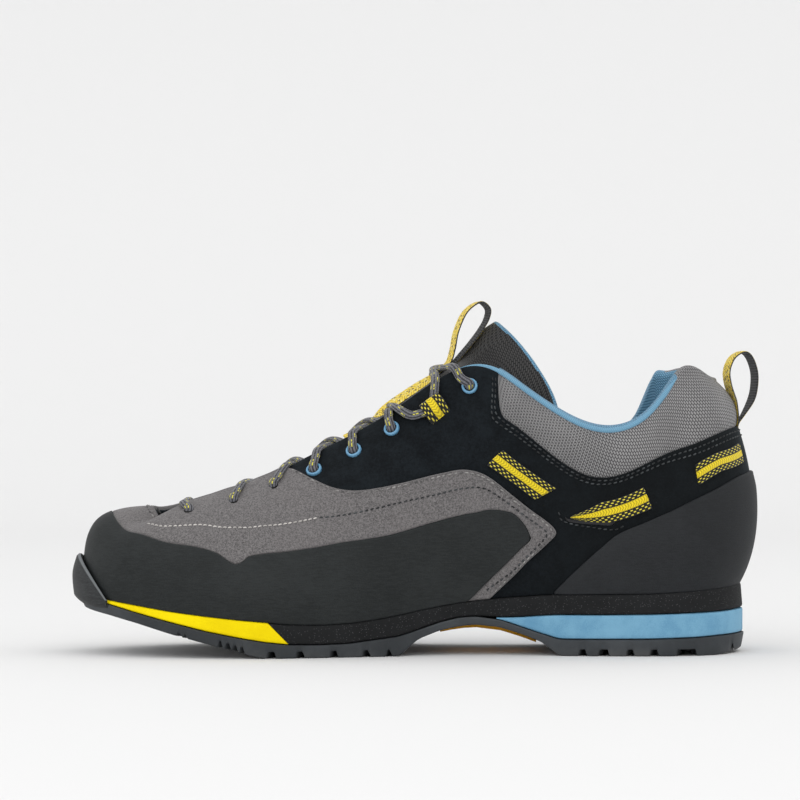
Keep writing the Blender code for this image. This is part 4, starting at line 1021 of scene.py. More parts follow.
# Outsole, bumper, blue and yellow wedges and black midsole, each between two lines of the side.
def buildSole():
    line = lambda column, lift=0.0: (lambda x: soleHeight(column, x) + lift)
    gap = shoe["gap"]
    made = soleLayer(
        "treadSole", (0.0, toe), (0.0, toe), line("ground"), line("tread"), (sole["flare"], -sole["flare"]),
        use["outsole"], sole["columns"], treadCut, (10, 6, 80), 0.0006)
    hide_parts("outsole")
    bumperPiece()
    wedgeEnd = solePlace(sole["wedgeEnd"])
    made = soleLayer(
        "blueHeelWedge", (0.0, wedgeEnd), (0.0, wedgeEnd), line("tread", gap), line("wedge"), (0.0, 0.0),
        use["blue"], 220)
    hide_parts("heel_wedge")
    toeLow, toeHigh = (solePlace(share) for share in sole["toeWedge"])
    step = (solePlace(0.71) - solePlace(0.70)) / 0.01 * sole["wedgeGap"]
    made = soleLayer(
        "yellowToeWedge", (toeLow + step, toe), (toeHigh + step, toe), line("tread", gap), line("top"),
        (0.0, sole["midInset"]), use["yellow"], 220)
    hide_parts("toe_wedge")
    under = lambda x: np.maximum(soleHeight("wedge", x), soleHeight("tread", x)) + gap
    made = soleLayer(
        "blackMidsole", (0.0, toeLow), (0.0, toeHigh), under, line("top"), (0.0, sole["midInset"]),
        use["midsole"], 300)
    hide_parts("midsole")


buildSole()
print("sole ready")

# Overlays: each row is a share of the length from the heel and a height over the midsole
overlays = {
    "randTail": ((0.338, 0.236, 0.337, 0.258), (0.352, 0.200, 0.345, 0.305), (0.370, 0.150, 0.358, 0.345),
                 (0.388, 0.100, 0.373, 0.368), (0.409, 0.050, 0.395, 0.378)),
    "randFront": ((0.430, 0.000, 0.420, 0.372), (0.470, 0.000, 0.465, 0.358), (0.530, 0.000, 0.530, 0.345),
                  (0.600, 0.000, 0.600, 0.337), (0.655, 0.000, 0.655, 0.313), (0.690, 0.000, 0.690, 0.293),
                  (0.720, 0.000, 0.720, 0.276), (0.737, 0.000, 0.737, 0.264), (0.748, 0.000, 0.748, 0.236),
                  (0.757, 0.000, 0.757, 0.226), (0.767, 0.000, 0.767, 0.236), (0.787, 0.000, 0.787, 0.264),
                  (0.820, 0.000, 0.820, 0.275), (0.862, 0.000, 0.862, 0.277), (0.905, 0.000, 0.900, 0.288),
                  (0.950, 0.000, 0.930, 0.315)),
    "suedeTail": ((0.395, 0.000), (0.376, 0.050), (0.357, 0.100), (0.338, 0.150), (0.319, 0.200),
                  (0.300, 0.250)),
    "suedeTop": ((0.303, 0.282), (0.315, 0.315), (0.330, 0.350), (0.360, 0.420), (0.396, 0.515),
                 (0.430, 0.556), (0.466, 0.553), (0.523, 0.544), (0.602, 0.548), (0.648, 0.595),
                 (0.690, 1.000), (0.715, 1.000), (0.735, 1.000), (0.746, 1.000), (0.757, 1.000),
                 (0.768, 1.000), (0.783, 1.000), (0.803, 1.000), (0.830, 1.000), (0.850, 1.000),
                 (0.868, 1.000)),
    "counterTop": ((0.302, 0.012), (0.266, 0.116), (0.237, 0.192), (0.209, 0.254), (0.165, 0.309),
                   (0.122, 0.360), (0.077, 0.410), (0.034, 0.455)),
    "randToe": 0.350, "counterBack": 0.475, "throat": 0.985, "dip": 0.072, "dipAt": 11.62, "dipWidth": 0.45,
}

# Upper: nubuck quarter, padded collar, binding and overlays
upper = {
    "cuffStart": 5.26, "cuffEnd": 5.475, "cornerPower": 3.2, "pad": 0.0028, "innerPad": 0.0016,
    "binding": 0.00105, "bindingFrom": 2.10, "bindingTo": 8.2, "meshWraps": 2.2, "liningTo": 8.0,
    "tuck": (0.06, 0.03, 0.008), "tuckDepth": 0.0022, "crown": 0.85, "liningReach": 0.20,
}


# How far the medial edge of the throat is cut down at its front end: a bell round the ring.
def throatDip(at):
    return overlays["dip"] * np.exp(-(((at - overlays["dipAt"]) / overlays["dipWidth"]) ** 2))


# The nubuck's upper border: the cuff's seam, then a quarter of a superellipse up to the topline.
def nubuckTop(at):
    seam = seamUp(at)
    share = np.clip((fromHeel(at) - upper["cuffStart"]) / (upper["cuffEnd"] - upper["cuffStart"]), 0.0, 1.0)
    power = upper["cornerPower"]
    corner = 1.0 - (1.0 - share**power) ** (1.0 / power)
    return seam + (1.0 - seam) * corner - throatDip(np.asarray(at) % around)


# The nubuck quarter: the wall up to its border, which falls off as a quarter circle, and the same
# wall again further in.
def buildQuarter():
    quarterTurn = lambda count: np.sin(np.linspace(0, math.pi / 2, count))
    bend = upper["cuffStart"] + (upper["cuffEnd"] - upper["cuffStart"]) * quarterTurn(44)
    half = np.concatenate((
        np.linspace(0.0, 5.15, 150)[:-1], np.linspace(5.15, 5.24, 8)[:-1], bend, np.linspace(5.48, toe, 220)))
    at = np.concatenate((half, around - half[-2::-1]))
    top = nubuckTop(at)[None]
    forward = smooth(fromHeel(at), upper["cuffStart"], upper["cuffEnd"])[None]
    rows = np.r_[np.linspace(0.0, 0.55, 11)[:-1], 0.55 + 0.45 * quarterTurn(26)][:, None]
    up = rows * top
    tall = np.linalg.norm(np.diff(wall(at[None], rows * top), axis=0), axis=-1)
    below = np.concatenate((np.cumsum(tall[::-1], 0)[::-1], np.zeros_like(top)))
    radius = 0.0007 + 0.0002 * forward
    fall = 1.0 - np.clip(below / radius, 0.0, 1.0)
    drop = radius * (1.0 - np.sqrt(1.0 - fall**2))
    thick = 0.0009 + 0.0015 * np.maximum(forward, smooth(below, 0.003, 0.010))
    ats = np.broadcast_to(at, up.shape)
    outer, inner = onWall(ats, up, -drop), onWall(ats, up, -thick + drop * forward)
    grid = np.concatenate((outer, inner[::-1], outer[:1]))
    side, rise = runs(outer)
    uv = np.stack((side, below), -1)
    uv = np.concatenate((uv, uv[::-1], uv[:1]))
    # The blue lining shows under the collar and the tongue alone; the throat's front is dark inside.
    inside = np.concatenate((np.zeros(len(outer)), np.ones(len(inner))))[:, None]
    slot = inside * (fromHeel(at[1:]) < upper["liningTo"])[None]
    made = piece("quarter", [(grid, uv, slot)], [use["nubuck"], use["lining"]])
    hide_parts("upper")


# The padded collar: from the seam its outer face swells by half a sine, half an ellipse crowns it, and
# the lining swells back down inside.
def buildCollar():
    bend = upper["cuffStart"] + (upper["cuffEnd"] - upper["cuffStart"]) * np.sin(np.linspace(0, 1.52, 40))
    at = np.concatenate((-bend[::-1], np.linspace(-5.2, 5.2, 340), bend))
    seam = nubuckTop(at)[None]
    share = np.linspace(0.0, 1.0, 26)[:, None]
    up = seam + (1.0 - seam) * share
    room = (1.0 - seam) / (1.0 - seamUp(at)[None])
    swell = upper["pad"] * np.sin(math.pi * share**0.85) * room
    outer = onWall(at[None] + 0 * up, up, swell - shoe["collarStep"], False)
    tuckUp = np.maximum(seam - np.array(upper["tuck"])[:, None], 0.05)
    tuck = onWall(at[None] + 0 * tuckUp, tuckUp, -upper["tuckDepth"] + 0 * tuckUp, False)
    reach = upper["liningReach"]
    inUp = seam - reach + (1.0 - seam + reach) * np.linspace(1.0, 0.0, 30)[:, None]
    grow = smooth(inUp, seam - 0.16, seam + 0.10)
    deep = shoe["wall"] + (shoe["collarWall"] - shoe["wall"]) * grow
    deep = deep + upper["innerPad"] * np.sin(math.pi * np.linspace(0, 1, 30)[:, None]) ** 2 * room
    inner = onWall(at[None] + 0 * inUp, inUp, -deep, False)
    middle, arm = (outer[-1] + inner[0]) / 2, (outer[-1] - inner[0]) / 2
    turn = np.linspace(0.0, math.pi, 14)[1:-1, None, None]
    rise = np.linalg.norm(arm, axis=-1, keepdims=True) * up3 * upper["crown"]
    crown = middle + arm * np.cos(turn) + rise * np.sin(turn)
    grid = np.concatenate((tuck, outer, crown, inner, tuck[:1]))
    first, last = grid[:, :1].mean(0, keepdims=True), grid[:, -1:].mean(0, keepdims=True)
    grid = np.concatenate((first + 0 * grid[:, :1], grid, last + 0 * grid[:, :1]), 1)
    u, v = runs(grid)
    u = np.broadcast_to(u[len(tuck) + 20], u.shape)
    v = v - v[len(tuck):len(tuck) + 1]
    # The lining starts at the rim, and behind the heel further in, where the mesh folds over the top.
    row = np.arange(len(grid) - 1)[:, None] - len(tuck) - len(outer)
    heel = np.r_[fromHeel(at[:1]), fromHeel(at)][None] < upper["meshWraps"]
    slot = (row > np.where(heel, 7, -1)) * 1
    made = piece("collarPad", [(grid, np.stack((u, v), -1), slot)], [use["collar"], use["lining"]], 60.0)
    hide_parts("upper")


# The blue binding: a thin roll along the outside of the topline on each side, thin at both ends.
def buildBinding():
    for name in ("medial", "lateral"):
        at = np.linspace(upper["bindingFrom"], upper["bindingTo"], 260)
        stations = at if name == "medial" else around - at
        behind = 1.0 - smooth(at, 5.3, 6.4)
        path = onWall(stations, 0.995, -0.0012 + 0 * at, False) + up3 * (0.0002 + 0.0008 * behind)[:, None]
        width = smooth(at, 2.1, 2.6) * (0.36 + 0.64 * behind) * (1.0 - smooth(at, 7.9, 8.2))
        normals = wallOut(stations, 0.97 + 0 * at) + up3
        roll = oval(upper["binding"] * 2.2, upper["binding"] * 1.9, 14)
        grid = sweep(path, normals, roll, np.maximum(width, 1e-4))
        u, v = runs(grid)
        made = piece(f"{name}Binding", [(grid, np.stack((u, v), -1), 0)], [use["binding"]], 80.0)
        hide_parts("upper")


buildQuarter()
buildCollar()
buildBinding()
print("quarter and collar ready")

tail, front = np.array(overlays["randTail"]), np.array(overlays["randFront"])
borders = {
    "randLow": np.vstack((tail[:, :2], front[:, :2])),
    "randTop": np.vstack((tail[:, 2:], front[:, 2:])),
    "suedeLow": np.vstack((front[:1, :2], tail[::-1, :2], tail[:, 2:], front[:, 2:])),
    "suedeTop": np.array(overlays["suedeTail"] + overlays["suedeTop"]),
    "counterLow": np.array([(x, 0.0) for x, _ in overlays["counterTop"]]),
    "counterTop": np.array(overlays["counterTop"]),
}
edges = {(side, name): places(side, row) for side in ("medial", "lateral") for name, row in borders.items()}
toeMiddle = toePlace(overlays["randToe"])


# One row over both sides: medial, the toe's middle, then lateral back.
def bothSides(name, centre):
    return np.vstack((edges["medial", name], centre, edges["lateral", name][::-1]))


# The heel counter's lower and upper rows, from the medial side round the heel to the lateral side.
def counterRows():
    back = wall(0.0, np.linspace(0.0, 1.0, 200))[:, 2] - soleHeight("top", xOf(0.02))
    top = np.interp(overlays["counterBack"] * shoe["upperHeight"], back, np.linspace(0.0, 1.0, 200))
    lateral = {name: edges["lateral", name] - (around, 0) for name in ("counterLow", "counterTop")}
    low = np.vstack((edges["medial", "counterLow"], (0.0, 0.0), lateral["counterLow"][::-1]))
    high = np.vstack((edges["medial", "counterTop"], (0.0, top), lateral["counterTop"][::-1]))
    return low, high


# Rubber rand, suede vamp and heel counter, each an overlay between two rows.
def buildOverlays():
    foot, throat = np.array((float(toe), 0.0)), np.array((float(toe), overlays["throat"]))
    gap = shoe["gap"]
    low, high = bothSides("randLow", foot), bothSides("randTop", toeMiddle)
    made = overlay("toeRand", low, high, use["rand"], gap + shoe["rand"], 0.0006, 640, 38, 0.0004)
    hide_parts("rand")
    low, high = bothSides("suedeLow", toeMiddle), bothSides("suedeTop", throat)
    high[:, 1] = np.minimum(high[:, 1], 1.0 - throatDip(high[:, 0]))
    made = overlay("suedeVamp", low, high, use["suede"], gap + shoe["suede"], 0.0005, 760, 42)
    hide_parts("vamp")
    low, high = counterRows()
    made = overlay("heelCounter", low, high, use["counter"], gap + shoe["counter"], 0.0006, 280, 36, 0.0006)
    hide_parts("heel_counter")


buildOverlays()
print("overlays ready")

# Webbing windows of the quarter: lower edge then upper edge, front to back
webbing = {
    "front": ((0.401, 0.572, 0.377, 0.628), (0.356, 0.470, 0.334, 0.517), (0.3265, 0.398, 0.2965, 0.444)),
    "middle": ((0.282, 0.322, 0.281, 0.328), (0.224, 0.298, 0.235, 0.387), (0.160, 0.360, 0.172, 0.452)),
    "rear": ((0.097, 0.438, 0.102, 0.524), (0.062, 0.488, 0.066, 0.572), (0.0245, 0.515, 0.0316, 0.598)),
    "lip": ((0.2865, 0.330), (0.2825, 0.312), (0.262, 0.304), (0.240, 0.298), (0.224, 0.296), (0.214, 0.306)),
    "thick": 0.0009, "lift": 0.0011, "dive": 0.0016,
    "keeper": (0.473, 0.833), "keeperTurn": 1.02, "keeperSize": (0.0062, 0.0046), "keeperLift": 0.0042,
    "keeperDive": 0.0040,
}


# A strip of webbing on the wall that dives under the nubuck at both ends, by a smooth step of its run.
def webbingStrip(name, low, high, node, lift, dive, along=90, across=18):
    low, high = evenPlaces(low, high, along, True)
    share = np.linspace(0.0, 1.0, across)[:, None, None]
    place = low[None] * (1.0 - share) + high[None] * share
    flat = wall(place[..., 0], place[..., 1])
    side, rise = runs(flat)
    near = np.minimum(side, side[:, -1:] - side)
    fromSide = np.minimum(share[..., 0], 1.0 - share[..., 0]) * np.maximum(rise[-1:], 1e-5)
    fall = 1.0 - np.clip(fromSide / 0.0005, 0.0, 1.0)
    height = -0.0011 + (lift + 0.0011) * smooth(near, 0.0, dive) - 0.0005 * (1.0 - np.sqrt(1.0 - fall**2))
    outer, inner = (onWall(place[..., 0], place[..., 1], h) for h in (height, height - webbing["thick"]))
    uv = np.stack((side, 2.0 * share[..., 0] - 1.0 + 0.0 * side), -1)
    made = piece(name, closedSheets(outer, inner, uv), [use["webbing"]], 60.0)
    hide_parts(node)


# Scale along a thin roll: it swells from nothing at both ends.
def crowdedEnds(count):
    share = np.linspace(0.0, 1.0, count)
    return np.maximum(np.sqrt(np.clip(np.minimum(share, 1.0 - share) / 0.12, 0.0, 1.0)), 1e-3)


# On each side three windows of webbing, the slot's lip and the keeper of the lace.
def buildWebbing():
    for side in ("medial", "lateral"):
        for name in ("front", "middle", "rear"):
            row = np.array(webbing[name])
            low, high = places(side, row[:, :2]), places(side, row[:, 2:])
            title, node = f"{side}{name.title()}Webbing", f"{side}_{name}_webbing"
            webbingStrip(title, low, high, node, webbing["lift"], webbing["dive"])
        points, outs = wallPath(places(side, np.array(webbing["lip"])), 0.0006, 0.0002)
        grid = sweep(points, outs, oval(0.0012, 0.0011, 10), crowdedEnds(len(points)))
        u, v = runs(grid)
        lip = piece(f"{side}SlotLip", [(grid, np.stack((u, v), -1), 0)], [use["lip"]], 80.0)
        x, h = webbing["keeper"]
        long, wide = webbing["keeperSize"]
        turn = webbing["keeperTurn"]
        rows = []
        for edge in (-1, 1):
            steps = np.linspace(-1.0, 1.0, 5)
            dx = steps * long * math.cos(turn) + edge * wide * math.sin(turn)
            dz = -steps * long * math.sin(turn) + edge * wide * math.cos(turn)
            rows.append(places(side, np.stack((x - dx / shoe["length"], h + dz / shoe["upperHeight"]), 1)))
        lift, dive = webbing["keeperLift"], webbing["keeperDive"]
        webbingStrip(f"{side}LaceKeeper", *rows, f"{side}_lace_keeper", lift, dive, 50)


buildWebbing()
print("webbing ready")

# Tongue
tongue = {
    "thick": 0.0040, "pad": 0.0080, "crown": 0.0022, "frontCrown": 0.0024, "topCrown": 0.0022, "edge": 0.0013,
    "padding": (0.62, 0.80), "brim": 0.22, "trim": 0.0014, "liningFrom": 0.35,
    # The free top: share of the length, height and place of its wings; then how the wings bend back
    "top": ((0.429, 1.270, 5.72), (0.406, 1.362, 5.08), (0.382, 1.412, 4.38)),
    "wing": ((0.0, 0.0, 0.0), (0.30, 0.36, 0.16), (0.62, 0.66, 0.40), (0.88, 0.88, 0.68), (1.0, 1.0, 1.0)),
}


# 1 along the padded cuff, easing to 0 in front of it.
def cuffShare(at):
    return 1.0 - smooth(fromHeel(at), shoe["cuffFront"] - 0.15, shoe["cuffFront"] + 0.75)


# Rows of points across the tongue: inside the throat's edges, then up its free top with wings bent back.
def tongueRows():
    rows = []
    for at in (12.55, 11.8, 10.8, 9.6, 8.4, 7.3, 6.35):
        depth = shoe["wall"] + (shoe["collarWall"] - shoe["wall"]) * cuffShare(at) + 4 * shoe["gap"]
        ups = np.array((0.80, 0.88, 0.95, 0.995))
        medial, lateral = (onWall(np.full(4, p), ups, np.full(4, -depth), False) for p in (at, around - at))
        crown = tongue["crown"] + tongue["frontCrown"] * smooth(at, 11.0, 12.3)
        crown += tongue["topCrown"] * (1.0 - smooth(at, 6.6, 8.4))
        middle = (medial[-1] + lateral[-1]) / 2 + up3 * crown
        rows.append(np.vstack((medial, middle, lateral[::-1])))
    for xShare, height, place in tongue["top"]:
        centre = np.array((xOf(xShare), 0.0, height * shoe["upperHeight"]))
        row = []
        for sign in (-1, 1):
            at = place if sign < 0 else around - place
            wing = onWall(at, 0.90, -(shoe["collarWall"] + 0.0022 + 2 * shoe["gap"]), False)
            half = [centre + (wing - centre) * np.array(step) for step in tongue["wing"]]
            row.append(half[::-1] if sign < 0 else half[1:])
        rows.append(np.vstack(row))
    return np.array(rows)


# Cubics down the rows and then across them, read at even parameters.
def denseGrid(keys, rows, columns):
    def dense(values, count):
        ends = np.concatenate((2 * values[:1] - values[1:2], values, 2 * values[-1:] - values[-2:-1]))
        at = np.linspace(0.0, len(values) - 1.0, count)
        low = np.minimum(np.floor(at).astype(int), len(values) - 2)
        t = (at - low)[:, None, None]
        a, b, c, d = (ends[low + k] for k in range(4))
        return curveBetween(a, b, c, d, t)

    return dense(dense(keys, rows).swapaxes(0, 1), columns).swapaxes(0, 1)


# Unit directions square to a grid, turned so that its middle looks up.
def gridOut(grid):
    out = np.cross(np.gradient(grid, axis=0), np.gradient(grid, axis=1))
    out /= np.linalg.norm(out, axis=-1, keepdims=True)
    return out * np.sign(out[len(out) // 2, out.shape[1] // 2, 2])


# The tongue: its front, and a back that sinks from the edge as a quarter ellipse, swollen at the top.
def buildTongue():
    outer = denseGrid(tongueRows(), 190, 90)
    out = gridOut(outer)
    place = np.linspace(0.0, 1.0, len(outer))[:, None]
    across = np.linspace(-1.0, 1.0, outer.shape[1])[None]
    thick = tongue["thick"] + (tongue["pad"] - tongue["thick"]) * smooth(place, *tongue["padding"])
    thick = thick * (1.0 - 0.42 * smooth(place, 0.93, 1.0)) * (1.0 - 0.4 * across**2)
    side, rise = runs(outer)
    near = np.minimum(np.minimum(side, side[:, -1:] - side), rise[-1:] - rise)
    full = np.sqrt(1.0 - (1.0 - np.clip(near / tongue["edge"], 0.0, 1.0)) ** 2)
    brim = thick * tongue["brim"]
    front = outer - out * (brim * (1.0 - full))[..., None]
    back = outer - out * (brim + (thick - brim) * full)[..., None]
    uv = np.stack((side - side[:, 45:46], rise), -1)
    slot = (rise[-1:] - rise < tongue["trim"])[1:, 1:] * 1
    behind = (place[1:] > tongue["liningFrom"]) * 1
    sheets = [(front, uv, slot), (back, uv, behind)]
    made = piece("meshTongue", sheets, [use["tongue"], use["lining"]], 60.0)
    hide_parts("tongue")
    return outer


tongueTop = buildTongue()
print("tongue ready")

# Straps and pull loops: side views of the strap's middle in metres, from where they leave the shoe
loops = {
    "width": 0.0120, "thick": 0.0009, "yaw": 0.15, "tongueYaw": 0.17, "tongueRoll": 0.22,
    "heel": ((0.0310, 0.955), (0.0290, 0.990), (0.0345, 1.060), (0.0430, 1.135), (0.0452, 1.195),
             (0.0375, 1.250), (0.0230, 1.276), (0.0120, 1.256), (0.0042, 1.195), (0.0040, 1.130),
             (0.0090, 1.070), (0.0215, 1.005), (0.0285, 0.975), (0.0310, 0.950)),
    "strap": ((-0.0300, 0.0905), (-0.0235, 0.0940), (-0.0172, 0.0982), (-0.0121, 0.1038), (-0.0015, 0.1112),
              (0.0059, 0.1160), (0.0103, 0.1196), (0.0140, 0.1235), (0.0157, 0.1290), (0.0172, 0.1365),
              (0.0210, 0.1447), (0.0268, 0.1488), (0.0306, 0.1462), (0.0302, 0.1420), (0.0276, 0.1372),
              (0.0236, 0.1318), (0.0200, 0.1275), (0.0170, 0.1240), (0.0140, 0.1210), (0.0112, 0.1184)),
}


# A strap carried along a side view, turned about the upright and, before it rises, about its own run.
# Its outer face has one material and its inner face another.
def strapPiece(name, path, across, count, materials, node, yaw=0.0, roll=0.0):
    points = evenSpline(np.column_stack((path[:, 0], across, path[:, 1])), count)
    along = np.gradient(points, axis=0)
    along /= np.linalg.norm(along, axis=1, keepdims=True)
    share = np.linspace(0.0, 1.0, count)
    tilt = -along[:, 2] * math.sin(yaw) - roll * (1.0 - smooth(share, 0.30, 0.44))
    normals = np.stack((-along[:, 2] * math.cos(yaw), tilt, along[:, 0]), -1)
    grid = sweep(points, normals, stripProfile(loops["width"], loops["thick"]))
    grid = np.concatenate((grid[:1].mean(1, keepdims=True) + 0 * grid[:1], grid,
                           grid[-1:].mean(1, keepdims=True) + 0 * grid[-1:]))
    u, v = runs(grid)
    turn = np.linspace(0.0, 2 * math.pi, grid.shape[1])
    face = np.sign(np.cos(turn)) * np.abs(np.cos(turn)) ** 0.4
    uv = np.stack((np.broadcast_to(v[:, :1], v.shape), np.broadcast_to(face[None], v.shape)), -1)
    slot = (np.sin((turn[1:] + turn[:-1]) / 2) < 0.22)[None] * 1
    made = piece(name, [(grid, uv, slot)], materials, 60.0)
    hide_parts(node)
    return made


# The tongue's strap with its pull loop, and the heel loop turned a little about an upright axis.
def buildLoops():
    path = np.array(loops["strap"])
    centre = np.interp(path[:, 0], (-0.030, -0.010, 0.004), (-0.0040, -0.0022, -0.0004))
    faces = [use["loopWebbing"], use["rib"]]
    yaw, roll = loops["tongueYaw"], loops["tongueRoll"]
    strapPiece("tongueStrap", path, centre, 220, faces, "tongue_loop", yaw, roll)
    heel = np.array(loops["heel"])
    path = np.column_stack((xOf(heel[:, 0]), heel[:, 1] * shoe["upperHeight"]))
    mesh = strapPiece("heelLoop", path, 0 * path[:, 0], 150, faces, "heel_loop").data
    points = np.zeros(len(mesh.vertices) * 3)
    mesh.vertices.foreach_get("co", points)
    points = points.reshape(-1, 3)
    # The loop leans a little about its upright axis, so that its face shows from the side.
    axis = np.array((xOf(0.019), 0.0))
    turn = loops["yaw"] * smooth(points[:, 2], 0.098, 0.108)
    dx, dy = points[:, 0] - axis[0], points[:, 1] - axis[1]
    points[:, 0] = axis[0] + dx * np.cos(turn) - dy * np.sin(turn)
    points[:, 1] = axis[1] + dx * np.sin(turn) + dy * np.cos(turn)
    mesh.vertices.foreach_set("co", points.ravel())
    mesh.update()


buildLoops()
print("loops ready")

# Eyelets, punched holes and laces
lacing = {
    "punched": ((0.826, 0.412), (0.763, 0.476), (0.705, 0.557)),
    "eyelets": ((0.648, 0.638), (0.590, 0.716), (0.535, 0.781)),
    "keeper": (0.473, 0.833), "top": (0.423, 0.903),
    "hole": 0.0022, "punch": 0.0021, "flange": 0.0034, "tall": 0.0010, "keeperLift": 0.0012,
    "width": 0.0038, "thick": 0.0023, "behind": 0.0035,
    # How high each cross stands over the throat's edges, and how much higher its second strand does
    "crossLifts": (-0.0046, -0.0026, -0.0008, 0.0002, 0.0002), "layer": 0.0021,
    # World x where each strand crosses the medial throat edge, from the first hole to the keeper
    "rims": (-0.0980, -0.0728, -0.0545, -0.0412, -0.0265, -0.0117, 0.0081),
}


# An eyelet: half an ellipse carried round the hole, with a flat back on the wall.
def ringAround(name, at, up, node, material):
    centre, out = onWall(at, up, shoe["gap"]), wallOut(at, up)
    side = np.cross(out, up3)
    side /= np.linalg.norm(side)
    top = np.cross(side, out)
    turn = np.linspace(0.0, 2 * math.pi, 49)[None, :, None]
    hole, flange, tall = lacing["hole"], lacing["flange"], lacing["tall"]
    bend = np.linspace(math.pi, 0.0, 13)
    middle, half = (hole + flange) / 2, (flange - hole) / 2
    r = np.r_[hole, middle + half * np.cos(bend), flange, hole][:, None, None]
    z = np.r_[-0.0016, 0.0002 + (tall - 0.0002) * np.sin(bend), -0.0004, -0.0016][:, None, None]
    grid = centre + r * (np.cos(turn) * side + np.sin(turn) * top) + z * out
    u, v = runs(grid)
    made = piece(name, [(grid, np.stack((u, v), -1), 0)], [material], 50.0)
    if node:
        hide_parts(node)


# A dark disc a hair over the surface, painted shade where a hole goes through.
def shadedHoleDisc(at, up, radius, lift):
    centre, out = onWall(at, up, lift), wallOut(at, up)
    side = np.cross(out, up3)
    side /= np.linalg.norm(side)
    top = np.cross(side, out)
    turn = np.linspace(0.0, 2 * math.pi, 33)[None, :, None]
    r = np.array((0.0, radius * 0.6, radius, radius, 0.0))[:, None, None]
    z = np.array((0.0, 0.0, -0.0001, -0.0006, -0.0006))[:, None, None]
    return centre + r * (np.cos(turn) * side + np.sin(turn) * top) + z * out


# The eyelets, and one piece with the dark discs of painted shade in all the holes.
def buildEyelets():
    discs = []
    for side in ("medial", "lateral"):
        for number, spot in enumerate(lacing["eyelets"] + (lacing["top"],)):
            at, up = placeOf(side, *spot)
            ringAround(f"{side}Eyelet{number + 1}", at, up, f"{side}_eyelet_{number + 1}", use["enamel"])
            discs.append((shadedHoleDisc(at, up, lacing["hole"] * 1.02, 0.0002), (0.0, 0.0), 0))
        for spot in lacing["punched"]:
            at, up = placeOf(side, *spot)
            lift = shoe["gap"] + shoe["suede"] + 0.0001
            discs.append((shadedHoleDisc(at, up, lacing["punch"], lift), (0.0, 0.0), 0))
    made = piece("laceHoleShade", discs, [use["hole"]], 60.0)


# The throat's edge on one side at world x: the place round and the point at a lift over its rim.
def rimAt(side, x, lift):
    ats = np.linspace(5.3, toe, 400)
    ats = ats if side == "medial" else around - ats
    line = wall(ats, 1.0)[:, 0]
    at = float(np.interp(-x, -line, ats))
    way = wallOut(at, 0.97) * 0.55 + up3
    return at, onWall(at, 0.99, 0.0, False) + way / np.linalg.norm(way) * lift


# The way up the wall at a place.
def wallRise(at, up):
    way = wall(at, min(up + 0.01, 1.0)) - wall(at, up - 0.01)
    return way / np.linalg.norm(way)


# Keys of a strand that climbs from a hole over the near edge: point and normal from the hole to the rim.
def climb(side, spot, rimX, lift, face=1.0, lean=0.0):
    at, up = placeOf(side, *spot)
    thick, out, rise = lacing["thick"], wallOut(at, up), wallRise(at, up)
    rimPlace, rim = rimAt(side, rimX, thick * 0.52)
    slopeAt, slopeUp = (at + rimPlace) / 2, (up + 0.985) / 2
    over = lift + thick / 2
    return [(onWall(at, up, -lacing["behind"]), -rise + 0.1 * out),
            (onWall(at, up, lift * 0.3) - rise * 0.0004, out * 0.3 - rise),
            (onWall(at, up, over * 0.75) + rise * 0.0010, out - rise * 0.5),
            (onWall(at + (rimPlace - at) * 0.25, up + (0.985 - up) * 0.25, over), out),
            (onWall(slopeAt, slopeUp, over), wallOut(slopeAt, slopeUp)),
            (rim + up3 * lean, wallOut(rimPlace, 0.97) * 0.6 + up3 * face)]


# Keys of a strand that slips under the far edge and down the inside of the wall towards a hole.
def slip(side, spot, rimX):
    at, up = placeOf(side, *spot)
    rimPlace, _ = rimAt(side, rimX, 0.0)
    deep = -(shoe["wall"] + lacing["thick"] * 0.42)
    return [(onWall(rimPlace, 0.975, deep + 0.0002), wallOut(rimPlace, 0.97) + 0.4 * up3),
            (onWall((rimPlace + at) / 2, (0.975 + up) / 2, deep), wallOut(at, up)),
            (onWall(at, up, deep), wallOut(at, up))]


# A strand: an oval carried along its keys and closed at both ends. U is its run, V the turn round it.
def strandGrid(keys, count):
    points = np.array([k[0] for k in keys])
    normals = np.array([k[1] / np.linalg.norm(k[1]) for k in keys])
    both = evenSpline(np.hstack((points, normals * 0.004)), count)
    path, ways = both[:, :3], both[:, 3:]
    grid = sweep(path, ways, oval(lacing["width"], lacing["thick"], 18))
    ends = [grid[k:k + 1].mean(1, keepdims=True) + 0 * grid[:1] for k in (0, len(grid) - 1)]
    grid = np.concatenate((ends[0], grid, ends[1]))
    _, v = runs(grid)
    turn = np.linspace(0.0, 1.0, grid.shape[1])
    uv = np.stack((np.broadcast_to(v[:, :1], v.shape), np.broadcast_to(turn[None], v.shape)), -1)
    return grid, uv, 0


# The middle of the throat at world x, over the tongue.
def overThroat(x, lift):
    one, two = (rimAt(side, x, 0.0)[1] for side in ("medial", "lateral"))
    point = (one + two) / 2
    point[2] += lift
    return [(point, up3 + 0.0 * point)]


# One piece of the lacing from its strands, in place of its solids.
def laced(name, strands, *nodes):
    made = piece(name, strands, [use["cord"]], 70.0)
    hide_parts(*nodes)


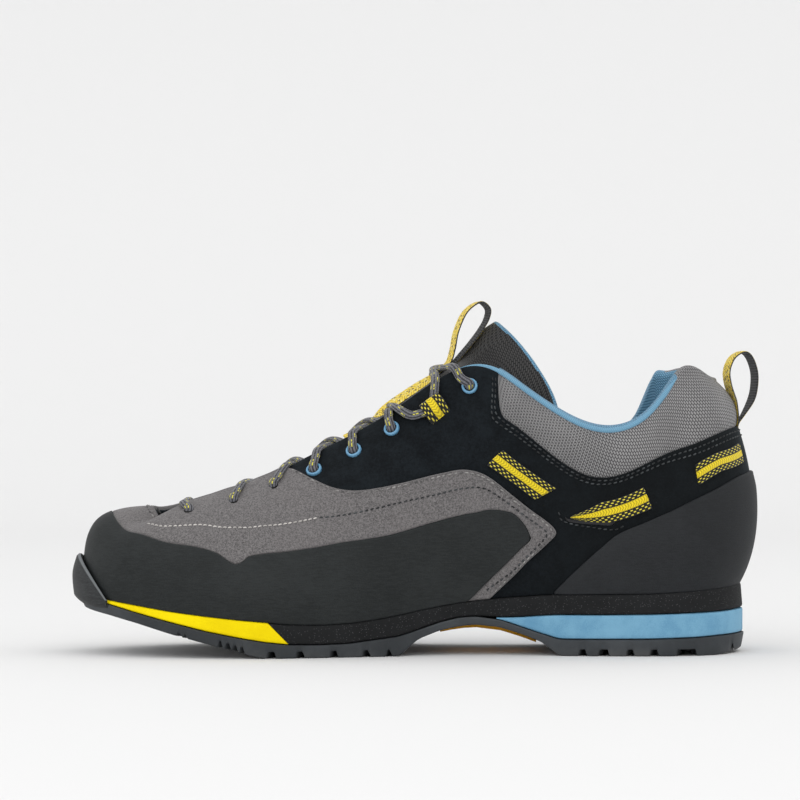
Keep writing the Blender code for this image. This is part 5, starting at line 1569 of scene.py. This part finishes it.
# The first bar, five crosses of two strands, and the top cross that passes behind the keepers.
def buildLaces():
    spots = lacing["punched"] + lacing["eyelets"] + (lacing["keeper"], lacing["top"])
    lifts = [shoe["gap"] + shoe["suede"]] * 3 + [lacing["tall"]] * 3 + [lacing["keeperLift"], lacing["tall"]]
    rims = lacing["rims"]
    pairs = (("medial", "lateral"), ("lateral", "medial"))
    bar = climb("medial", spots[0], rims[0], lifts[0]) + overThroat(rims[0] - 0.0005, 0.0008)
    bar += climb("lateral", spots[0], rims[0], lifts[0])[::-1]
    laced("laceFirstBar", [strandGrid(bar, 150)], "lace_bar")
    for i in range(5):
        sheets = []
        for layer, (near, far) in enumerate(pairs):
            farX = xOf(spots[i + 1][0]) - 0.004
            if i == 0:
                start = slip(near, spots[0], rims[0] + 0.009)[::-1]
                middleX = (rims[0] + 0.009 + farX) / 2
            else:
                start = climb(near, spots[i], rims[i], lifts[i])
                middleX = (rims[i] + farX) / 2
            lift = lacing["crossLifts"][i] + lacing["layer"] * layer
            keys = start + overThroat(middleX, lift) + slip(far, spots[i + 1], farX)
            sheets.append(strandGrid(keys, 170))
        laced(f"laceCross{i + 1}", sheets, f"lace_cross_{i + 1}")
    sheets = []
    for layer, (near, far) in enumerate(pairs):
        # Over to the far keeper, behind its webbing, and back to the near top eyelet.
        keys = climb(near, spots[5], rims[5], lifts[5]) + overThroat(-0.0108, 0.0002 + 0.0024 * layer)
        arrive, rim = rimAt(far, -0.0090, lacing["thick"] * 0.52)
        at, up = placeOf(far, *spots[6])
        over = lacing["keeperLift"] + lacing["thick"] / 2
        leave, top = rimAt(far, rims[6], lacing["thick"] * 0.52)
        keys += [(rim, wallOut(arrive, 0.97) * 0.8 + up3),
                 (onWall(arrive * 0.62 + at * 0.38, up * 0.70 + 0.28, over), wallOut(at, up)),
                 (onWall(arrive * 0.30 + at * 0.70, up - 0.002, over), wallOut(at, up)),
                 (onWall(at, up - 0.010, over), wallOut(at, up)),
                 (onWall(at * 0.85 + leave * 0.15, up * 0.72 + 0.275, over), wallOut(at, up)),
                 (top, wallOut(leave, 0.97) + 0.3 * up3)]
        keys += overThroat(0.0078, 0.0044 + 0.0016 * layer)
        keys += climb(near, spots[7], 0.0150, lifts[7], face=0.25, lean=0.0016)[::-1]
        sheets.append(strandGrid(keys, 330))
    laced("laceTopCross", sheets, "lace_cross_6", "lace_cross_7")


buildEyelets()
buildLaces()
print("laces ready")

# Stitch rows: length and thickness of a stitch, the step from one to the next, and how far rows stand in
seams = {
    "length": 0.0017, "thick": 0.00066, "step": 0.0024, "edgeRow": 0.0013, "throatRow": 0.0026,
    "design": ((0.884, 0.330), (0.866, 0.333), (0.848, 0.342), (0.810, 0.362), (0.780, 0.367),
               (0.750, 0.376), (0.713, 0.393), (0.676, 0.415), (0.640, 0.436), (0.610, 0.444),
               (0.540, 0.464), (0.477, 0.470), (0.432, 0.479), (0.413, 0.474), (0.396, 0.459),
               (0.372, 0.404), (0.352, 0.356), (0.329, 0.308), (0.315, 0.270), (0.314, 0.248),
               (0.3236, 0.216), (0.3435, 0.162), (0.366, 0.104), (0.401, 0.038)),
    "palePoints": 9, "paleStep": 0.88, "collarRows": (0.020, 0.043), "collarFront": 5.47,
    "slot": ((0.296, 0.352), (0.293, 0.318), (0.278, 0.296), (0.248, 0.280), (0.218, 0.270), (0.205, 0.282)),
}


# Grey rows along the suede's edges, pale and dark rows on its design line, and dark double rows
# under the collar and round the slot.
def buildStitches():
    lift = shoe["gap"] + shoe["suede"] + 0.00005
    throat = np.array((float(toe), overlays["throat"]))
    low, high = bothSides("suedeLow", toeMiddle), bothSides("suedeTop", throat)
    high[:, 1] = np.minimum(high[:, 1], 1.0 - throatDip(high[:, 0]))
    low, high = evenPlaces(low, high, 700)
    openEdge = high[:, 1] < 0.955
    edge = np.abs(high[:, 0] - toe)
    grey, dark, pale = [], [], []
    row = insetRow(high, low, seams["edgeRow"])
    for side in (high[:, 0] < toe, high[:, 0] >= toe):
        grey.append(wallPath(row[openEdge & side][6:-2], seams["step"], lift))
    grey.append(wallPath(insetRow(high, low, seams["throatRow"])[edge < 1.05], seams["step"], lift))
    for side in ("medial", "lateral"):
        row = places(side, np.array(seams["design"]))
        pale.append(wallPath(row[:seams["palePoints"]], seams["step"] * seams["paleStep"], lift))
        dark.append(wallPath(row[seams["palePoints"] - 1:], seams["step"], lift))
        dark.append(wallPath(places(side, np.array(seams["slot"])), seams["step"], 0.00005))
    half = np.linspace(0.0, 5.20, 60)
    at = np.concatenate((-half[:0:-1], half))
    for inset in seams["collarRows"]:
        front = seams["collarFront"] + inset * 2.4
        corner = float(seamUp(np.array([5.30]))[0]) - inset
        row = np.stack((at, seamUp(at) - inset), 1)
        bend = np.array((
            (front - 0.08, corner + 0.012), (front, corner + 0.045), (front, 0.90), (front, 0.965)))
        row = np.vstack((bend[::-1] * (-1, 1), row, bend))
        dark.append(wallPath(row, seams["step"], 0.00005))
    length, thick = seams["length"], seams["thick"]
    for name, rows, material, slot in (
        ("greyStitches", grey, "greyThread", "suede"), ("paleStitches", pale, "paleThread", "suede"),
        ("darkStitches", dark, "darkThread", "nubuck"),
    ):
        stitches(name, rows, length, thick, use[material])


buildStitches()
print("stitches ready")
